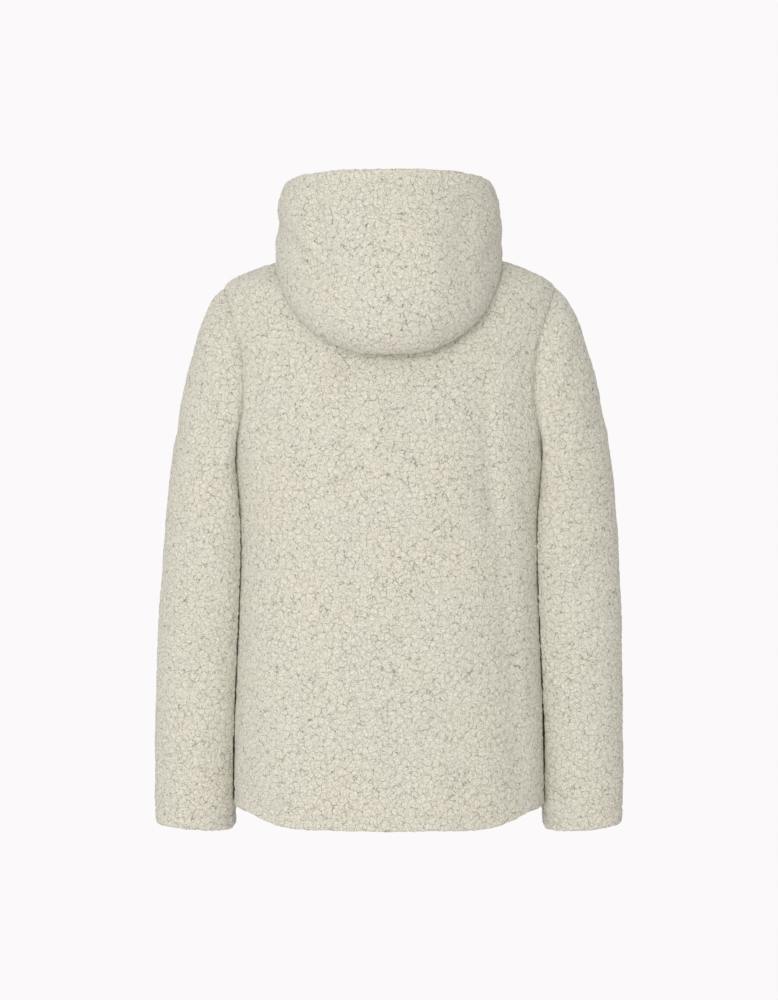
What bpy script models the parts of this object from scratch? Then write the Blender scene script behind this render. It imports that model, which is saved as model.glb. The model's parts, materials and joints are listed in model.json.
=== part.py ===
"""A hooded wool pullover, filled out as if worn, with its hood down.

Metres in Blender, millimetres in the tables. +Z is up, the back faces -Y and the wearer's right
sleeve is at +X. The origin is at the base of the neck, where the shoulders carry the garment.
Every panel is a wall of thick curled wool cloth, worked out from sections of the worn garment.
"""

import bmesh
import bpy
import numpy as np

MM = 0.001

# Driving sizes, in millimetres
WALL = 5.0
TURNED_EDGE = 2.5
HEM_DEPTH = 19.0
# The neck seam presses the wall thinner by this much, over a few rows
SEAM_PRESS = 2.4
SEAM_ROWS = 6
SEAM_GAP = 0.3
# The sleeve's seam end stands this far out of the body's, and its side rests this far from it
SLEEVE_ASIDE = 0.7
REST_GAP = 1.2

HEM_SIDE = -653.0
# The hem hangs lower in the middle; it drops between these shares of the half turn's sine
HEM_DROP = 14.5
HEM_DROP_STARTS = 0.42
HEM_DROP_ENDS = 0.88
UNDERARM = -250.0
SHOULDER_TIP = -30.0
NECK_POINT = 12.0
NECK_HALF_WIDTH = 84.0
BACK_NECK = 3.0
FRONT_NECK = -70.0
BACK_NECK_CURVE = 2.0
FRONT_NECK_CURVE = 1.15
ARMHOLE_INSET = 29.0

# How finely each panel is divided
BODY_ROWS = 10
YOKE_ROWS = 9
SHOULDER_COLUMNS = 5
NECK_COLUMNS = 16
STRIP_COLUMNS = 6
SLEEVE_ROWS = 18
HOOD_ROWS = 17
LINE_SAMPLES = 121
# The first row above the hem, in millimetres, and above a cuff or the rim, as shares of the length
ROW_ABOVE_HEM = 47.5
ROW_ABOVE_CUFF = 0.92
CUFF_TURNED = 0.965
RIM_TURNED = 0.93

# Wool: red, green and blue, linear
CREAM = (0.64, 0.60, 0.50)
CREAM_SHADE = (0.60, 0.565, 0.47)
WOOL_ROUGHNESS = 0.95
SHARP_ANGLE = 50.0

# Sections of the body from the hem up to the side of the neck
TORSO = {
    "height": (-690, -560, -460, -360, -290, -250, -200, -140, -90, -60, -40, -30, -20, -11, -1, 6, 12),
    "half_width": (187, 186, 183, 181, 184, 189, 197, 201, 202, 202, 201, 199, 189, 170, 143, 110, 84),
    "back": (112, 111, 109, 109, 111, 113, 114, 112, 106, 98, 90, 86, 80, 74, 67, 62, 58),
    "front": (118, 117, 115, 115, 118, 120, 122, 112, 92, 74, 64, 60, 56, 52, 48, 45, 43),
    "power": (2.35, 2.35, 2.3, 2.3, 2.3, 2.3, 2.25, 2.2, 2.15, 2.1, 2.1, 2.1, 2.05, 2.0, 2.0, 2.0, 2.0),
}

# Sections across the sleeve, from the armhole to the cuff, seen from behind
SLEEVE = {
    "outer_x": (199, 213, 227, 237, 249, 259, 267, 273, 278, 281, 283, 283, 282),
    "outer_z": (-30, -46, -78, -118, -170, -232, -300, -370, -440, -515, -590, -655, -678),
    "inner_x": (189, 182, 176, 171, 168, 167, 168, 170, 173, 177, 181, 184, 185),
    "inner_z": (-250, -262, -282, -308, -336, -370, -410, -455, -505, -560, -618, -664, -684),
    "half_depth": (64, 66, 68, 68, 66, 63, 60, 57, 54, 51, 48, 45, 44),
    "centre_y": (0, 0, 1, 2, 3, 5, 7, 9, 11, 12, 13, 13, 13),
}
SLEEVE_POWER = 2.15
# The right sleeve is fuller down to a share of its length
RIGHT_SLEEVE_FULLER = 6.0
FULLER_TO = 0.85
# Shares of the sleeve over which the armhole's shape and the gap to the body run out
ARMHOLE_BLEND = 0.3
REST_GAP_BLEND = 0.06

# Lines round the hood from the neck seam, down to its fold on the back and up to its rim
HOOD = {
    "half_width": (84, 89, 101, 114, 123, 128, 131, 133, 134, 133, 131, 128, 122),
    "side_y": (0, -1, -3, -6, -10, -13, -15, -17, -19, -21, -23, -25, -26),
    "side_z": (12, 29, 34, 22, 11, 8, 10, 17, 32, 50, 64, 78, 89),
    "open_z": (12, 19, 25, 30, 35, 39, 43, 47, 53, 60, 68, 78, 89),
    "back_y": (-58, -70, -86, -103, -113, -119, -131, -147, -158, -161, -154, -138, -121),
    "back_z": (3, 20, 18, -14, -58, -94, -112, -104, -76, -36, 12, 60, 103),
    "front_y": (72, 74, 77, 80, 82, 84, 85, 86, 88, 89, 90, 91, 92),
    "front_z": (-70, -68, -66, -64, -62, -60, -58, -56, -54, -51, -48, -45, -41),
    "strip": (46, 48, 51, 54, 57, 60, 62, 64, 66, 66, 66, 65, 63),
    "off_body": (0, 2.5, 3, 3, 3.5, 4, 5, 8, 12, 15, 17, 18, 18),
}
HOOD_POWER = 2.3
HOOD_FRONT_POWER = 2.1
HOOD_FRONT_DIP = 1.5
HOOD_BACK_DIP = 2.2
# The fold opens over this part of a turn, and from there to the front the collar lies this close
FOLD_OPENS = 0.65
COLLAR_GAP = 4.0
COLLAR_STARTS_Y = 10.0
COLLAR_BLEND = 40.0
# Share of the hood over which the neck's shape runs out
NECK_BLEND = 0.25

# The largest soft folds: a line from one point to another, its half width and its height,
# which is negative for a trough. They run out past their ends and where the body narrows
FOLD_RUN_OUT = 1.6
FOLDS_END_WIDTH = 150.0
FOLDS_FULL_WIDTH = 180.0
BACK_FOLDS = {
    "x_from": (112, -42, 108, -150, -40, 60),
    "z_from": (-250, -130, -150, -420, -560, -600),
    "x_to": (150, -38, 120, -120, -60, 70),
    "z_to": (-620, -400, -290, -640, -668, -668),
    "half_width": (20, 16, 16, 22, 18, 18),
    "height": (-4.0, -2.5, -2.5, 3.0, -2.0, 2.0),
}
FRONT_FOLDS = {
    "x_from": (-95, 70, 20, 140, -30),
    "z_from": (-200, -230, -330, -420, -560),
    "x_to": (-140, 120, 30, 120, -50),
    "z_to": (-600, -560, -620, -650, -664),
    "half_width": (22, 20, 18, 22, 20),
    "height": (-4.0, -3.5, 2.5, 3.0, -2.5),
}
SLEEVE_FOLD_SHIFT = 12.0
SLEEVE_FOLDS = {
    "x_from": (250, 200, 262, 205),
    "z_from": (-150, -250, -330, -470),
    "x_to": (200, 262, 206, 266),
    "z_to": (-230, -310, -400, -520),
    "half_width": (16, 15, 16, 15),
    "height": (-2.0, 2.0, -2.0, -1.8),
}
# The hood's folds start past its own turned fold and are full this far behind the neck
HOOD_FOLDS_START = 0.4
HOOD_FOLDS_FULL = 0.5
HOOD_FOLDS_DEPTH = 60.0
HOOD_FOLDS = {
    "x_from": (-86, -136, 20, 96),
    "z_from": (92, 46, 50, 60),
    "x_to": (-76, -84, -10, 84),
    "z_to": (-6, -12, 44, -20),
    "half_width": (15, 12, 30, 16),
    "height": (-4.5, -4.0, -3.0, -3.0),
}

# How the hood is moved clear of the body: rounds, the most a round moves it, the reach above
CLEAR_ROUNDS = 6
CLEAR_STEP = 8.0
CLEAR_ABOVE = 20.0
# The moves and the wall's directions are evened out in rounds, and a share of the gap is kept
CALM_ROUNDS = 4
CLOSEST = 0.75
NUDGE = 0.5
TINY = 1e-9


def smooth(knots, values, at):
    """A smooth curve through the values, read at the given places."""
    knots = np.asarray(knots, float)
    values = np.asarray(values, float)
    at = np.clip(np.asarray(at, float), knots[0], knots[-1])
    slopes = np.gradient(values, knots)
    i = np.clip(np.searchsorted(knots, at) - 1, 0, len(knots) - 2)
    step = knots[i + 1] - knots[i]
    t = (at - knots[i]) / step
    start = (1 + 2 * t) * (1 - t) ** 2 * values[i] + t * (1 - t) ** 2 * step * slopes[i]
    end = t * t * (3 - 2 * t) * values[i + 1] + t * t * (t - 1) * step * slopes[i + 1]
    return start + end


def torso(name, height):
    """One column of the torso's table at a height."""
    return smooth(TORSO["height"], TORSO[name], height)


def power_pair(angle, power):
    """Cosine and sine of a rounded square: each keeps its sign."""
    c = np.cos(angle)
    s = np.sin(angle)
    return np.sign(c) * np.abs(c) ** (2 / power), np.sign(s) * np.abs(s) ** (2 / power)


def body_point(angle, height, side):
    """A point of the body's surface: angle 0 is at +X, and side is -1 on the back, 1 on the front."""
    c, s = power_pair(angle, torso("power", height))
    depth = torso("back" if side < 0 else "front", height)
    x = torso("half_width", height) * c
    return np.stack([x, side * depth * np.abs(s), height + 0 * x], axis=-1)


def angle_at(x, height):
    """The body's angle where its surface reaches x at a height."""
    share = np.clip(np.abs(x) / torso("half_width", height), 0, 1)
    angle = np.arccos(share ** (torso("power", height) / 2))
    return np.where(np.asarray(x) < 0, np.pi - angle, angle)


def evenly(points, count):
    """Places on a line of points, evenly spaced along it, as shares of its samples."""
    steps = np.linalg.norm(np.diff(points, axis=0), axis=1)
    run = np.concatenate([[0], np.cumsum(steps)])
    return np.interp(np.linspace(0, run[-1], count), run, np.linspace(0, 1, len(points)))


def armhole_x(rise):
    """How far out the armhole lies, with rise from 0 under the arm to 1 at the shoulder tip."""
    height = UNDERARM + (SHOULDER_TIP - UNDERARM) * rise
    return torso("half_width", height) - ARMHOLE_INSET * 4 * rise * (1 - rise)


def neck_places(side, count):
    """Angles and heights on the neck seam from its right point to its left one."""
    low = BACK_NECK if side < 0 else FRONT_NECK
    curve = BACK_NECK_CURVE if side < 0 else FRONT_NECK_CURVE

    def places(turn):
        height = NECK_POINT + (low - NECK_POINT) * np.sin(turn) ** curve
        return angle_at(NECK_HALF_WIDTH * np.cos(turn), height), height

    fine = np.linspace(0, np.pi, 2 * LINE_SAMPLES - 1)
    line = body_point(*places(fine), side)
    return places(np.pi * evenly(line, count))


def panel_places(side):
    """Angles and heights of a body panel's points, from the hem up to its shoulders and neck."""
    columns = 2 * SHOULDER_COLUMNS + NECK_COLUMNS + 1
    angle = np.linspace(0, np.pi, columns)
    drop = (np.sin(angle) - HEM_DROP_STARTS) / (HEM_DROP_ENDS - HEM_DROP_STARTS)
    drop = np.clip(drop, 0, 1)
    hem = HEM_SIDE - HEM_DROP * drop**2 * (3 - 2 * drop)
    length = UNDERARM - HEM_SIDE
    above = np.linspace(ROW_ABOVE_HEM / length, 1, BODY_ROWS)
    share = np.concatenate([[0, HEM_DEPTH / length], above])
    rows_angle = [angle + 0 * s for s in share]
    rows_height = [hem + (UNDERARM - hem) * s for s in share]

    neck_angle, neck_height = neck_places(side, NECK_COLUMNS + 1)
    ridge = np.linspace(SHOULDER_TIP, NECK_POINT, SHOULDER_COLUMNS + 1)[:-1]
    top_angle = np.concatenate([0 * ridge, neck_angle, np.pi + 0 * ridge])
    top_height = np.concatenate([ridge, neck_height, ridge[::-1]])
    low_x = body_point(angle, UNDERARM + 0 * angle, side)[:, 0]
    low_x = low_x / low_x[0]
    top_x = body_point(top_angle, top_height, side)[:, 0]
    top_x = top_x / top_x[0]
    for rise in (1 - np.cos(np.pi * np.linspace(0, 1, YOKE_ROWS + 1)[1:-1])) / 2:
        height = UNDERARM + (top_height - UNDERARM) * rise
        x = armhole_x(rise) * (top_x + (low_x - top_x) * (1 - rise) ** 2)
        rows_angle.append(angle_at(x, height))
        rows_height.append(height)
    return np.array([*rows_angle, top_angle]), np.array([*rows_height, top_height])


def fold_height(x, z, folds, mirror=1):
    """How far the soft folds raise or lower the cloth at a place seen square on."""
    raised = np.zeros_like(x)
    for x0, z0, x1, z1, half_width, height in zip(*folds.values()):
        along = np.array([mirror * (x1 - x0), z1 - z0], float)
        length = np.hypot(*along)
        along /= length
        off_x = x - mirror * x0
        off_z = z - z0
        run = off_x * along[0] + off_z * along[1]
        aside = off_x * along[1] - off_z * along[0]
        past = np.maximum(0, np.maximum(-run, run - length))
        reach = (aside / half_width) ** 2 + (past / (FOLD_RUN_OUT * half_width)) ** 2
        raised += height * np.exp(-reach)
    return raised


def body_panel(side):
    """The outer points of the back or the front."""
    points = body_point(*panel_places(side), side)
    folds = BACK_FOLDS if side < 0 else FRONT_FOLDS
    raised = fold_height(points[..., 0], points[..., 2], folds)
    calm = np.sqrt(np.sin(np.linspace(0, np.pi, points.shape[1])))
    wide = torso("half_width", points[..., 2]) - FOLDS_END_WIDTH
    calm = calm * np.clip(wide / (FOLDS_FULL_WIDTH - FOLDS_END_WIDTH), 0, 1)
    points[..., 1] += side * raised * calm
    return points


def armhole_line(grid_back, grid_front):
    """The armhole as a ring: from the shoulder tip down the back, then up the front."""
    start = 1 + BODY_ROWS
    down = grid_back[start:, 0][::-1]
    up = grid_front[start:, 0][1:-1]
    return np.concatenate([down, up])


def body_edge(y, z):
    """How far out the body's side reaches at a depth and a height."""
    depth = np.where(y < 0, torso("back", z), torso("front", z))
    power = torso("power", z)
    share = np.clip(1 - np.clip(np.abs(y) / depth, 0, 1) ** power, 0, 1)
    return torso("half_width", z) * share ** (1 / power)


def sleeve_tube(ring, x_sign):
    """The outer points of a sleeve: rings from the armhole to the cuff, clear of the body."""
    count = len(ring)
    station = np.linspace(0, 1, len(SLEEVE["outer_x"]))
    share = np.concatenate([np.linspace(0, ROW_ABOVE_CUFF, SLEEVE_ROWS - 1), [CUFF_TURNED, 1]])
    turn = 2 * np.pi * np.arange(count) / count
    c, s = power_pair(turn, SLEEVE_POWER)
    ring = ring * [x_sign, 1, 1]
    rings = []
    for t in share:
        at = {name: smooth(station, values, t) for name, values in SLEEVE.items()}
        fuller = RIGHT_SLEEVE_FULLER * np.sin(np.pi * min(1, t / FULLER_TO)) ** 2 * (x_sign > 0)
        outer_x = at["outer_x"] + fuller
        x = (outer_x + at["inner_x"]) / 2 + (outer_x - at["inner_x"]) / 2 * c
        z = (at["outer_z"] + at["inner_z"]) / 2 + (at["outer_z"] - at["inner_z"]) / 2 * c
        y = at["centre_y"] - at["half_depth"] * s
        rings.append(np.stack([x, y, z], axis=-1))
    rings = np.array(rings)
    fade = np.clip(1 - share / ARMHOLE_BLEND, 0, 1) ** 2
    rings += fade[:, None, None] * (ring - rings[0])
    rings[0] = ring
    rings[1:] = folded_sleeve(rings[1:], x_sign)
    gap = REST_GAP * np.clip(share / REST_GAP_BLEND, 0, 1)[:, None]
    edge = body_edge(rings[..., 1], rings[..., 2]) + gap
    below = rings[..., 2] < UNDERARM
    rings[..., 0] = np.where(below, np.maximum(rings[..., 0], edge), rings[..., 0])
    return rings * [x_sign, 1, 1]


def folded_sleeve(points, x_sign):
    """A sleeve's points with its soft folds, the same on the back and the front."""
    shifted = points[..., 2] + SLEEVE_FOLD_SHIFT * x_sign
    raised = fold_height(points[..., 0], shifted, SLEEVE_FOLDS)
    middle = (points.min(axis=1) + points.max(axis=1)) / 2
    outward = points - middle[:, None, :]
    outward[..., 2] = 0
    length = np.linalg.norm(outward, axis=-1, keepdims=True)
    side = np.abs(outward[..., 1:2]) / length
    return points + outward / length * raised[..., None] * side


def torso_clearance(points):
    """Roughly how far each point is outside the body, and the way out."""

    def excess(p):
        z = np.clip(p[..., 2], TORSO["height"][0], TORSO["height"][-1])
        depth = np.where(p[..., 1] < 0, torso("back", z), torso("front", z))
        power = torso("power", z)
        across = (np.abs(p[..., 0]) / torso("half_width", z)) ** power
        level = across + (np.abs(p[..., 1]) / depth) ** power
        return level - 1 + np.maximum(0, p[..., 2] - TORSO["height"][-1]) / CLEAR_ABOVE

    slope = [excess(points + NUDGE * axis) - excess(points - NUDGE * axis) for axis in np.eye(3)]
    slope = np.stack(slope, axis=-1) / (2 * NUDGE)
    steepness = np.maximum(np.linalg.norm(slope, axis=-1), TINY)
    return excess(points) / steepness, slope / steepness[..., None]


def clear_of_body(points, gap):
    """Points moved out until they are clear of the body by the gap."""
    for _ in range(CLEAR_ROUNDS):
        distance, out = torso_clearance(points)
        points = points + np.clip(gap - distance, 0, CLEAR_STEP)[..., None] * out
    return points


def softened(values, axis):
    """Values of a grid, each brought nearer to its two neighbours' mean; the edges stay."""
    calm = values.copy()
    here = [slice(None)] * values.ndim
    before = list(here)
    after = list(here)
    here[axis] = slice(1, -1)
    before[axis] = slice(None, -2)
    after[axis] = slice(2, None)
    neighbours = (values[tuple(before)] + values[tuple(after)]) / 2
    calm[tuple(here)] = (values[tuple(here)] + neighbours) / 2
    return calm


def hood_line(at, columns_front, columns_side):
    """One line round the hood, from the centre front on the right to the middle of the back."""
    turn = np.linspace(0, np.pi / 2, LINE_SAMPLES)
    c, s = power_pair(turn, HOOD_POWER)
    # Ahead of the shoulder the fold opens out into a collar that only rises
    ahead = np.clip((np.pi / 2 - turn) / FOLD_OPENS, 0, 1)
    side_z = at["side_z"] + (at["open_z"] - at["side_z"]) * ahead**2 * (3 - 2 * ahead)
    front = np.stack(
        [
            at["half_width"] * np.sin(turn) ** (2 / HOOD_FRONT_POWER),
            at["side_y"] + (at["front_y"] - at["side_y"]) * np.cos(turn) ** (2 / HOOD_FRONT_POWER),
            side_z + (at["front_z"] - side_z) * np.cos(turn) ** HOOD_FRONT_DIP,
        ],
        axis=-1,
    )
    back = np.stack(
        [
            at["half_width"] * c,
            at["side_y"] + (at["back_y"] - at["side_y"]) * s,
            at["side_z"] + (at["back_z"] - at["side_z"]) * s ** (HOOD_POWER / HOOD_BACK_DIP),
        ],
        axis=-1,
    )
    line = np.concatenate([front, back[1:]])
    strip_columns = STRIP_COLUMNS // 2
    samples = np.linspace(0, 1, len(line))
    back_x = -line[LINE_SAMPLES:, 0]
    back_samples = samples[LINE_SAMPLES:]
    strip_start = np.interp(-at["strip"], back_x, back_samples)
    side_part = line[samples <= strip_start]
    where = evenly(side_part, columns_front + columns_side + 1) * strip_start
    strip_x = np.linspace(at["strip"], 0, strip_columns + 1)[1:]
    where = np.concatenate([where, np.interp(-strip_x, back_x, back_samples)])
    return np.stack([np.interp(where, samples, line[:, k]) for k in range(3)], axis=-1)


def hood_grid(neck):
    """All of the hood's outer points: rows from the neck seam to the rim, columns round it."""
    half = (neck.shape[0] - 1) // 2
    strip_columns = STRIP_COLUMNS // 2
    columns_side = NECK_COLUMNS // 2 - strip_columns
    columns_front = half - NECK_COLUMNS // 2
    station = np.linspace(0, 1, len(HOOD["half_width"]))
    share = np.concatenate([np.linspace(0, RIM_TURNED, HOOD_ROWS), [1]])
    rows = []
    for t in share:
        at = {name: smooth(station, values, t) for name, values in HOOD.items()}
        right = hood_line(at, columns_front, columns_side)
        left = right[::-1][1:] * [-1, 1, 1]
        rows.append(np.concatenate([right, left]))
    grid = np.array(rows)
    fade = np.clip(1 - share / NECK_BLEND, 0, 1) ** 2
    grid += fade[:, None, None] * (neck - grid[0])
    grid[0] = neck
    outside = (share - HOOD_FOLDS_START) / (HOOD_FOLDS_FULL - HOOD_FOLDS_START)
    behind = np.clip(-grid[..., 1] / HOOD_FOLDS_DEPTH, 0, 1)
    raised = fold_height(grid[..., 0], grid[..., 2], HOOD_FOLDS)
    grid[..., 1] -= raised * behind * np.clip(outside, 0, 1)[:, None]
    gap = smooth(station, HOOD["off_body"], share)[1:, None]
    at_back = np.clip((COLLAR_STARTS_Y - grid[1:, :, 1]) / COLLAR_BLEND, 0, 1)
    gap = np.minimum(gap, COLLAR_GAP) + np.maximum(gap - COLLAR_GAP, 0) * at_back
    moves = clear_of_body(grid[1:], gap) - grid[1:]
    for _ in range(CALM_ROUNDS):
        moves = softened(moves, axis=0)
        moves = softened(moves, axis=1)
    grid[1:] = clear_of_body(grid[1:] + moves, gap * CLOSEST)
    return grid


def grid_normals(points, ring):
    """Outward normals of a grid whose rows run up or along it and whose columns run round it."""
    if ring:
        around = np.roll(points, -1, axis=1) - np.roll(points, 1, axis=1)
    else:
        around = np.gradient(points, axis=1)
    along = np.gradient(points, axis=0)
    normal = np.cross(around, along)
    return normal / np.maximum(np.linalg.norm(normal, axis=-1, keepdims=True), TINY)


def shared_normals(panels, seams):
    """Normals of all panels, with one normal wherever panels meet at a seam.

    At the armholes and the neck the cloth turns back on itself, so there the normal also points
    away from the middle of the opening.
    """
    total = {}
    keys = {}
    for ring in seams:
        away = ring - ring.mean(axis=0)
        away /= np.linalg.norm(away, axis=1, keepdims=True)
        for key, normal in zip(map(tuple, np.round(ring, 2)), away):
            total[key] = normal
    for name, (points, normals) in panels.items():
        keys[name] = np.round(points, 2)
        for key, normal in zip(map(tuple, keys[name].reshape(-1, 3)), normals.reshape(-1, 3)):
            total[key] = total.get(key, 0) + normal
    shared = {}
    for name, (points, _) in panels.items():
        summed = np.array([total[key] for key in map(tuple, keys[name].reshape(-1, 3))])
        calm = summed.reshape(points.shape)
        for _ in range(CALM_ROUNDS):
            calm = calm / np.maximum(np.linalg.norm(calm, axis=-1, keepdims=True), TINY)
            calm[:, 1:-1] = softened(calm, axis=0)[:, 1:-1]
            calm[1:-1] = softened(calm, axis=1)[1:-1]
        shared[name] = calm / np.maximum(np.linalg.norm(calm, axis=-1, keepdims=True), TINY)
    return shared


def inset(points, ring):
    """A panel's points with its edges drawn in by half of the seam's gap."""
    moved = points.copy()

    def draw_in(edge, inner):
        step = inner - edge
        if ring:
            along = np.roll(edge, -1, axis=0) - np.roll(edge, 1, axis=0)
        else:
            along = np.gradient(edge, axis=0)
        along /= np.maximum(np.linalg.norm(along, axis=-1, keepdims=True), TINY)
        step -= along * np.sum(step * along, axis=-1, keepdims=True)
        length = np.maximum(np.linalg.norm(step, axis=-1, keepdims=True), TINY)
        return step / length * SEAM_GAP / 2

    moved[0] += draw_in(points[0], points[1])
    moved[-1] += draw_in(points[-1], points[-2])
    if not ring:
        moved[:, 0] += draw_in(points[:, 0], points[:, 1])
        moved[:, -1] += draw_in(points[:, -1], points[:, -2])
    return moved


def wall(name, points, normals, thickness, colour, ring=False):
    """A closed wall of cloth: an outer grid, the same grid moved in, and the edges between."""
    outer = inset(points, ring)
    inner = inset(points - normals * thickness, ring)
    rows, columns = outer.shape[:2]
    mesh = bmesh.new()
    layers = []
    for grid in (outer, inner):
        layers.append([[mesh.verts.new(p * MM) for p in row] for row in grid])
    out, back = layers
    spans = columns if ring else columns - 1
    for i in range(rows - 1):
        for j in range(spans):
            k = (j + 1) % columns
            mesh.faces.new([out[i][j], out[i][k], out[i + 1][k], out[i + 1][j]])
            mesh.faces.new([back[i][j], back[i + 1][j], back[i + 1][k], back[i][k]])
    for j in range(spans):
        k = (j + 1) % columns
        mesh.faces.new([out[0][k], out[0][j], back[0][j], back[0][k]])
        mesh.faces.new([out[-1][j], out[-1][k], back[-1][k], back[-1][j]])
    if not ring:
        for i in range(rows - 1):
            mesh.faces.new([out[i][0], out[i + 1][0], back[i + 1][0], back[i][0]])
            mesh.faces.new([out[i + 1][-1], out[i][-1], back[i][-1], back[i + 1][-1]])
    bmesh.ops.triangulate(mesh, faces=mesh.faces, quad_method="SHORT_EDGE")
    bmesh.ops.recalc_face_normals(mesh, faces=mesh.faces)
    data = bpy.data.meshes.new(name)
    mesh.to_mesh(data)
    mesh.free()
    data.shade_smooth()
    data.set_sharp_from_angle(angle=np.radians(SHARP_ANGLE))
    data.materials.append(wool(name + "_wool", colour))
    piece = bpy.data.objects.new(name, data)
    bpy.context.scene.collection.objects.link(piece)
    return piece


def wool(name, colour):
    """Matt cream wool."""
    material = bpy.data.materials.new(name)
    material.use_nodes = True
    shader = material.node_tree.nodes["Principled BSDF"]
    shader.inputs["Base Color"].default_value = (*colour, 1)
    shader.inputs["Roughness"].default_value = WOOL_ROUGHNESS
    return material


def thick_at_edge(count_rows, first=0, last=0, pressed=""):
    """The wall's thickness row by row: more where rows are turned in, less at a pressed seam."""
    thickness = np.full((count_rows, 1, 1), WALL)
    thickness[:first] += TURNED_EDGE
    if last:
        thickness[-last:] += TURNED_EDGE
    from_seam = np.arange(count_rows) / SEAM_ROWS
    if pressed == "last":
        from_seam = from_seam[::-1]
    if pressed:
        thickness[:, 0, 0] -= SEAM_PRESS * np.clip(1 - from_seam, 0, 1)
    return thickness


def neck_ring(back, front):
    """The neck seam from the centre front on the right, round the back, to the centre front."""
    across = slice(SHOULDER_COLUMNS, SHOULDER_COLUMNS + NECK_COLUMNS + 1)
    back_line = back[-1, across]
    front_line = front[-1, across]
    middle = NECK_COLUMNS // 2
    right = front_line[: middle + 1][::-1]
    left = front_line[middle:][::-1]
    return np.concatenate([right, back_line[1:-1], left])


def main():
    for item in list(bpy.data.objects):
        bpy.data.objects.remove(item)

    back = body_panel(-1)
    front = body_panel(1)
    neck = neck_ring(back, front)
    armhole_right = armhole_line(back, front)
    armhole_left = armhole_line(back[:, ::-1], front[:, ::-1])
    hood = hood_grid(neck)[:, ::-1]
    strip = STRIP_COLUMNS // 2
    middle = hood.shape[1] // 2
    # Each grid's columns run so that its outward side is on their left, seen along its rows
    panels = {
        "back": back[:, ::-1],
        "front": front,
        "sleeve_right": sleeve_tube(armhole_right, 1),
        "sleeve_left": sleeve_tube(armhole_left, -1)[:, ::-1],
        "hood_side_left": hood[:, : middle - strip + 1],
        "hood_centre": hood[:, middle - strip : middle + strip + 1],
        "hood_side_right": hood[:, middle + strip :],
    }
    rings = ("sleeve_right", "sleeve_left")
    measured = {}
    for name, points in panels.items():
        measured[name] = (points, grid_normals(points, name in rings))
    normals = shared_normals(measured, (neck, armhole_right, armhole_left))
    turned = {
        "back": thick_at_edge(len(back), first=2, pressed="last"),
        "front": thick_at_edge(len(front), first=2, pressed="last"),
        "sleeve_right": thick_at_edge(SLEEVE_ROWS + 1, last=2),
        "sleeve_left": thick_at_edge(SLEEVE_ROWS + 1, last=2),
    }
    hood_thickness = thick_at_edge(len(hood), last=2, pressed="first")
    aside = {"sleeve_right": [SLEEVE_ASIDE, 0, 0], "sleeve_left": [-SLEEVE_ASIDE, 0, 0]}
    for name, points in panels.items():
        points = points + aside.get(name, [0, 0, 0])
        thickness = turned.get(name, hood_thickness)
        colour = CREAM_SHADE if name.startswith("sleeve") else CREAM
        wall(name, points, normals[name], thickness, colour, ring=name in rings)


main()
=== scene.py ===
"""Looks of a hooded pullover of thick curled cream wool, filled out as worn, hood down.

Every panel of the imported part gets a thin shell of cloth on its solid's form: a fine outer side
with its clumps, locks and lumps raised in the mesh, and a plainer knitted inner side. Tables are in
millimetres and repeat the part's own sections, because nothing here reads the part's source.
"""

import json

import bpy
import numpy as np
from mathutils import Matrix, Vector

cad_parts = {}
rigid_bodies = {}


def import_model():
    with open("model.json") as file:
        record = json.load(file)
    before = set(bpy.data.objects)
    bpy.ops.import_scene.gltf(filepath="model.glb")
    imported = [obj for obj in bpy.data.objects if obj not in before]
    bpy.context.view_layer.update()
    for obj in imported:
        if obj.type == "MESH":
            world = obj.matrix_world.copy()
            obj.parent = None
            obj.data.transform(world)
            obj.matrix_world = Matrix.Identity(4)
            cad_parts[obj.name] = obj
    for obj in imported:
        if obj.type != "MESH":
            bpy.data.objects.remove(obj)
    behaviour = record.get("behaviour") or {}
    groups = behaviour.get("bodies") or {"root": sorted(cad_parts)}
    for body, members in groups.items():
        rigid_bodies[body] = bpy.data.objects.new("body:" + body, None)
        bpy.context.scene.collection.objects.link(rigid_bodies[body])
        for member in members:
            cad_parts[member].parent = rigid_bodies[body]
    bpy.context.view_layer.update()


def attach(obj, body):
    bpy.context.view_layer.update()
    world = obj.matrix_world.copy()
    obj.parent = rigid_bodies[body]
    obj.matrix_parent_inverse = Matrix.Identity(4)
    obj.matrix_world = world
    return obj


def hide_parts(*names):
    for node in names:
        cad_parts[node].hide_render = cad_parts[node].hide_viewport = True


MM = 0.001

# The cloth, in millimetres: its solid's wall, what a turned edge adds, how deep the pile's roots
# lie, how far the turned edge reaches, the gap at a seam and how far a sleeve stands off the body
WALL = 5.0
TURNED_EDGE = 2.5
PILE_ROOT = 1.2
HEM_DEPTH = 19.0
# The turned edge's inner end slopes off over this length
TURN_STEP = 2.0
SEAM_GAP = 0.1
SLEEVE_ASIDE = 0.7
# The sleeve comes this much nearer where it faces the body, so that the gap between them is narrow
SLEEVE_CLOSER = 1.2
ASIDE_REACH = 15.0
REST_GAP = 1.2
# Rows that round a free edge, as distances from where the solid ends
EDGE_STEPS = (1.2, 1.45, 2.1, 3.2, 4.8)
# Seams and stitch lines press the pile in
SEAM_DIP = 0.3
SEAM_SPREAD = 3.0
# The armholes lie in a wider soft valley that runs out between these heights near the shoulder
ARMHOLE_DIP = 4.2
ARMHOLE_SPREAD = 5.0
ARMHOLE_FULL = -105.0
ARMHOLE_ENDS = -62.0
# The shoulders sink a little: how far on the left and the right, and the height where that starts
SHOULDER_SINKS = ((2.6, -150.0), (1.1, -85.0))
SHOULDER_FULL = -40.0
SHOULDER_FROM = 84.0
SHOULDER_TO = 114.0
STITCH_DIP = 0.6
STITCH_SPREAD = 1.9
# Shares of the pile that lie flat there
SEAM_FLAT = 0.45
STITCH_FLAT = 0.5

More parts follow.
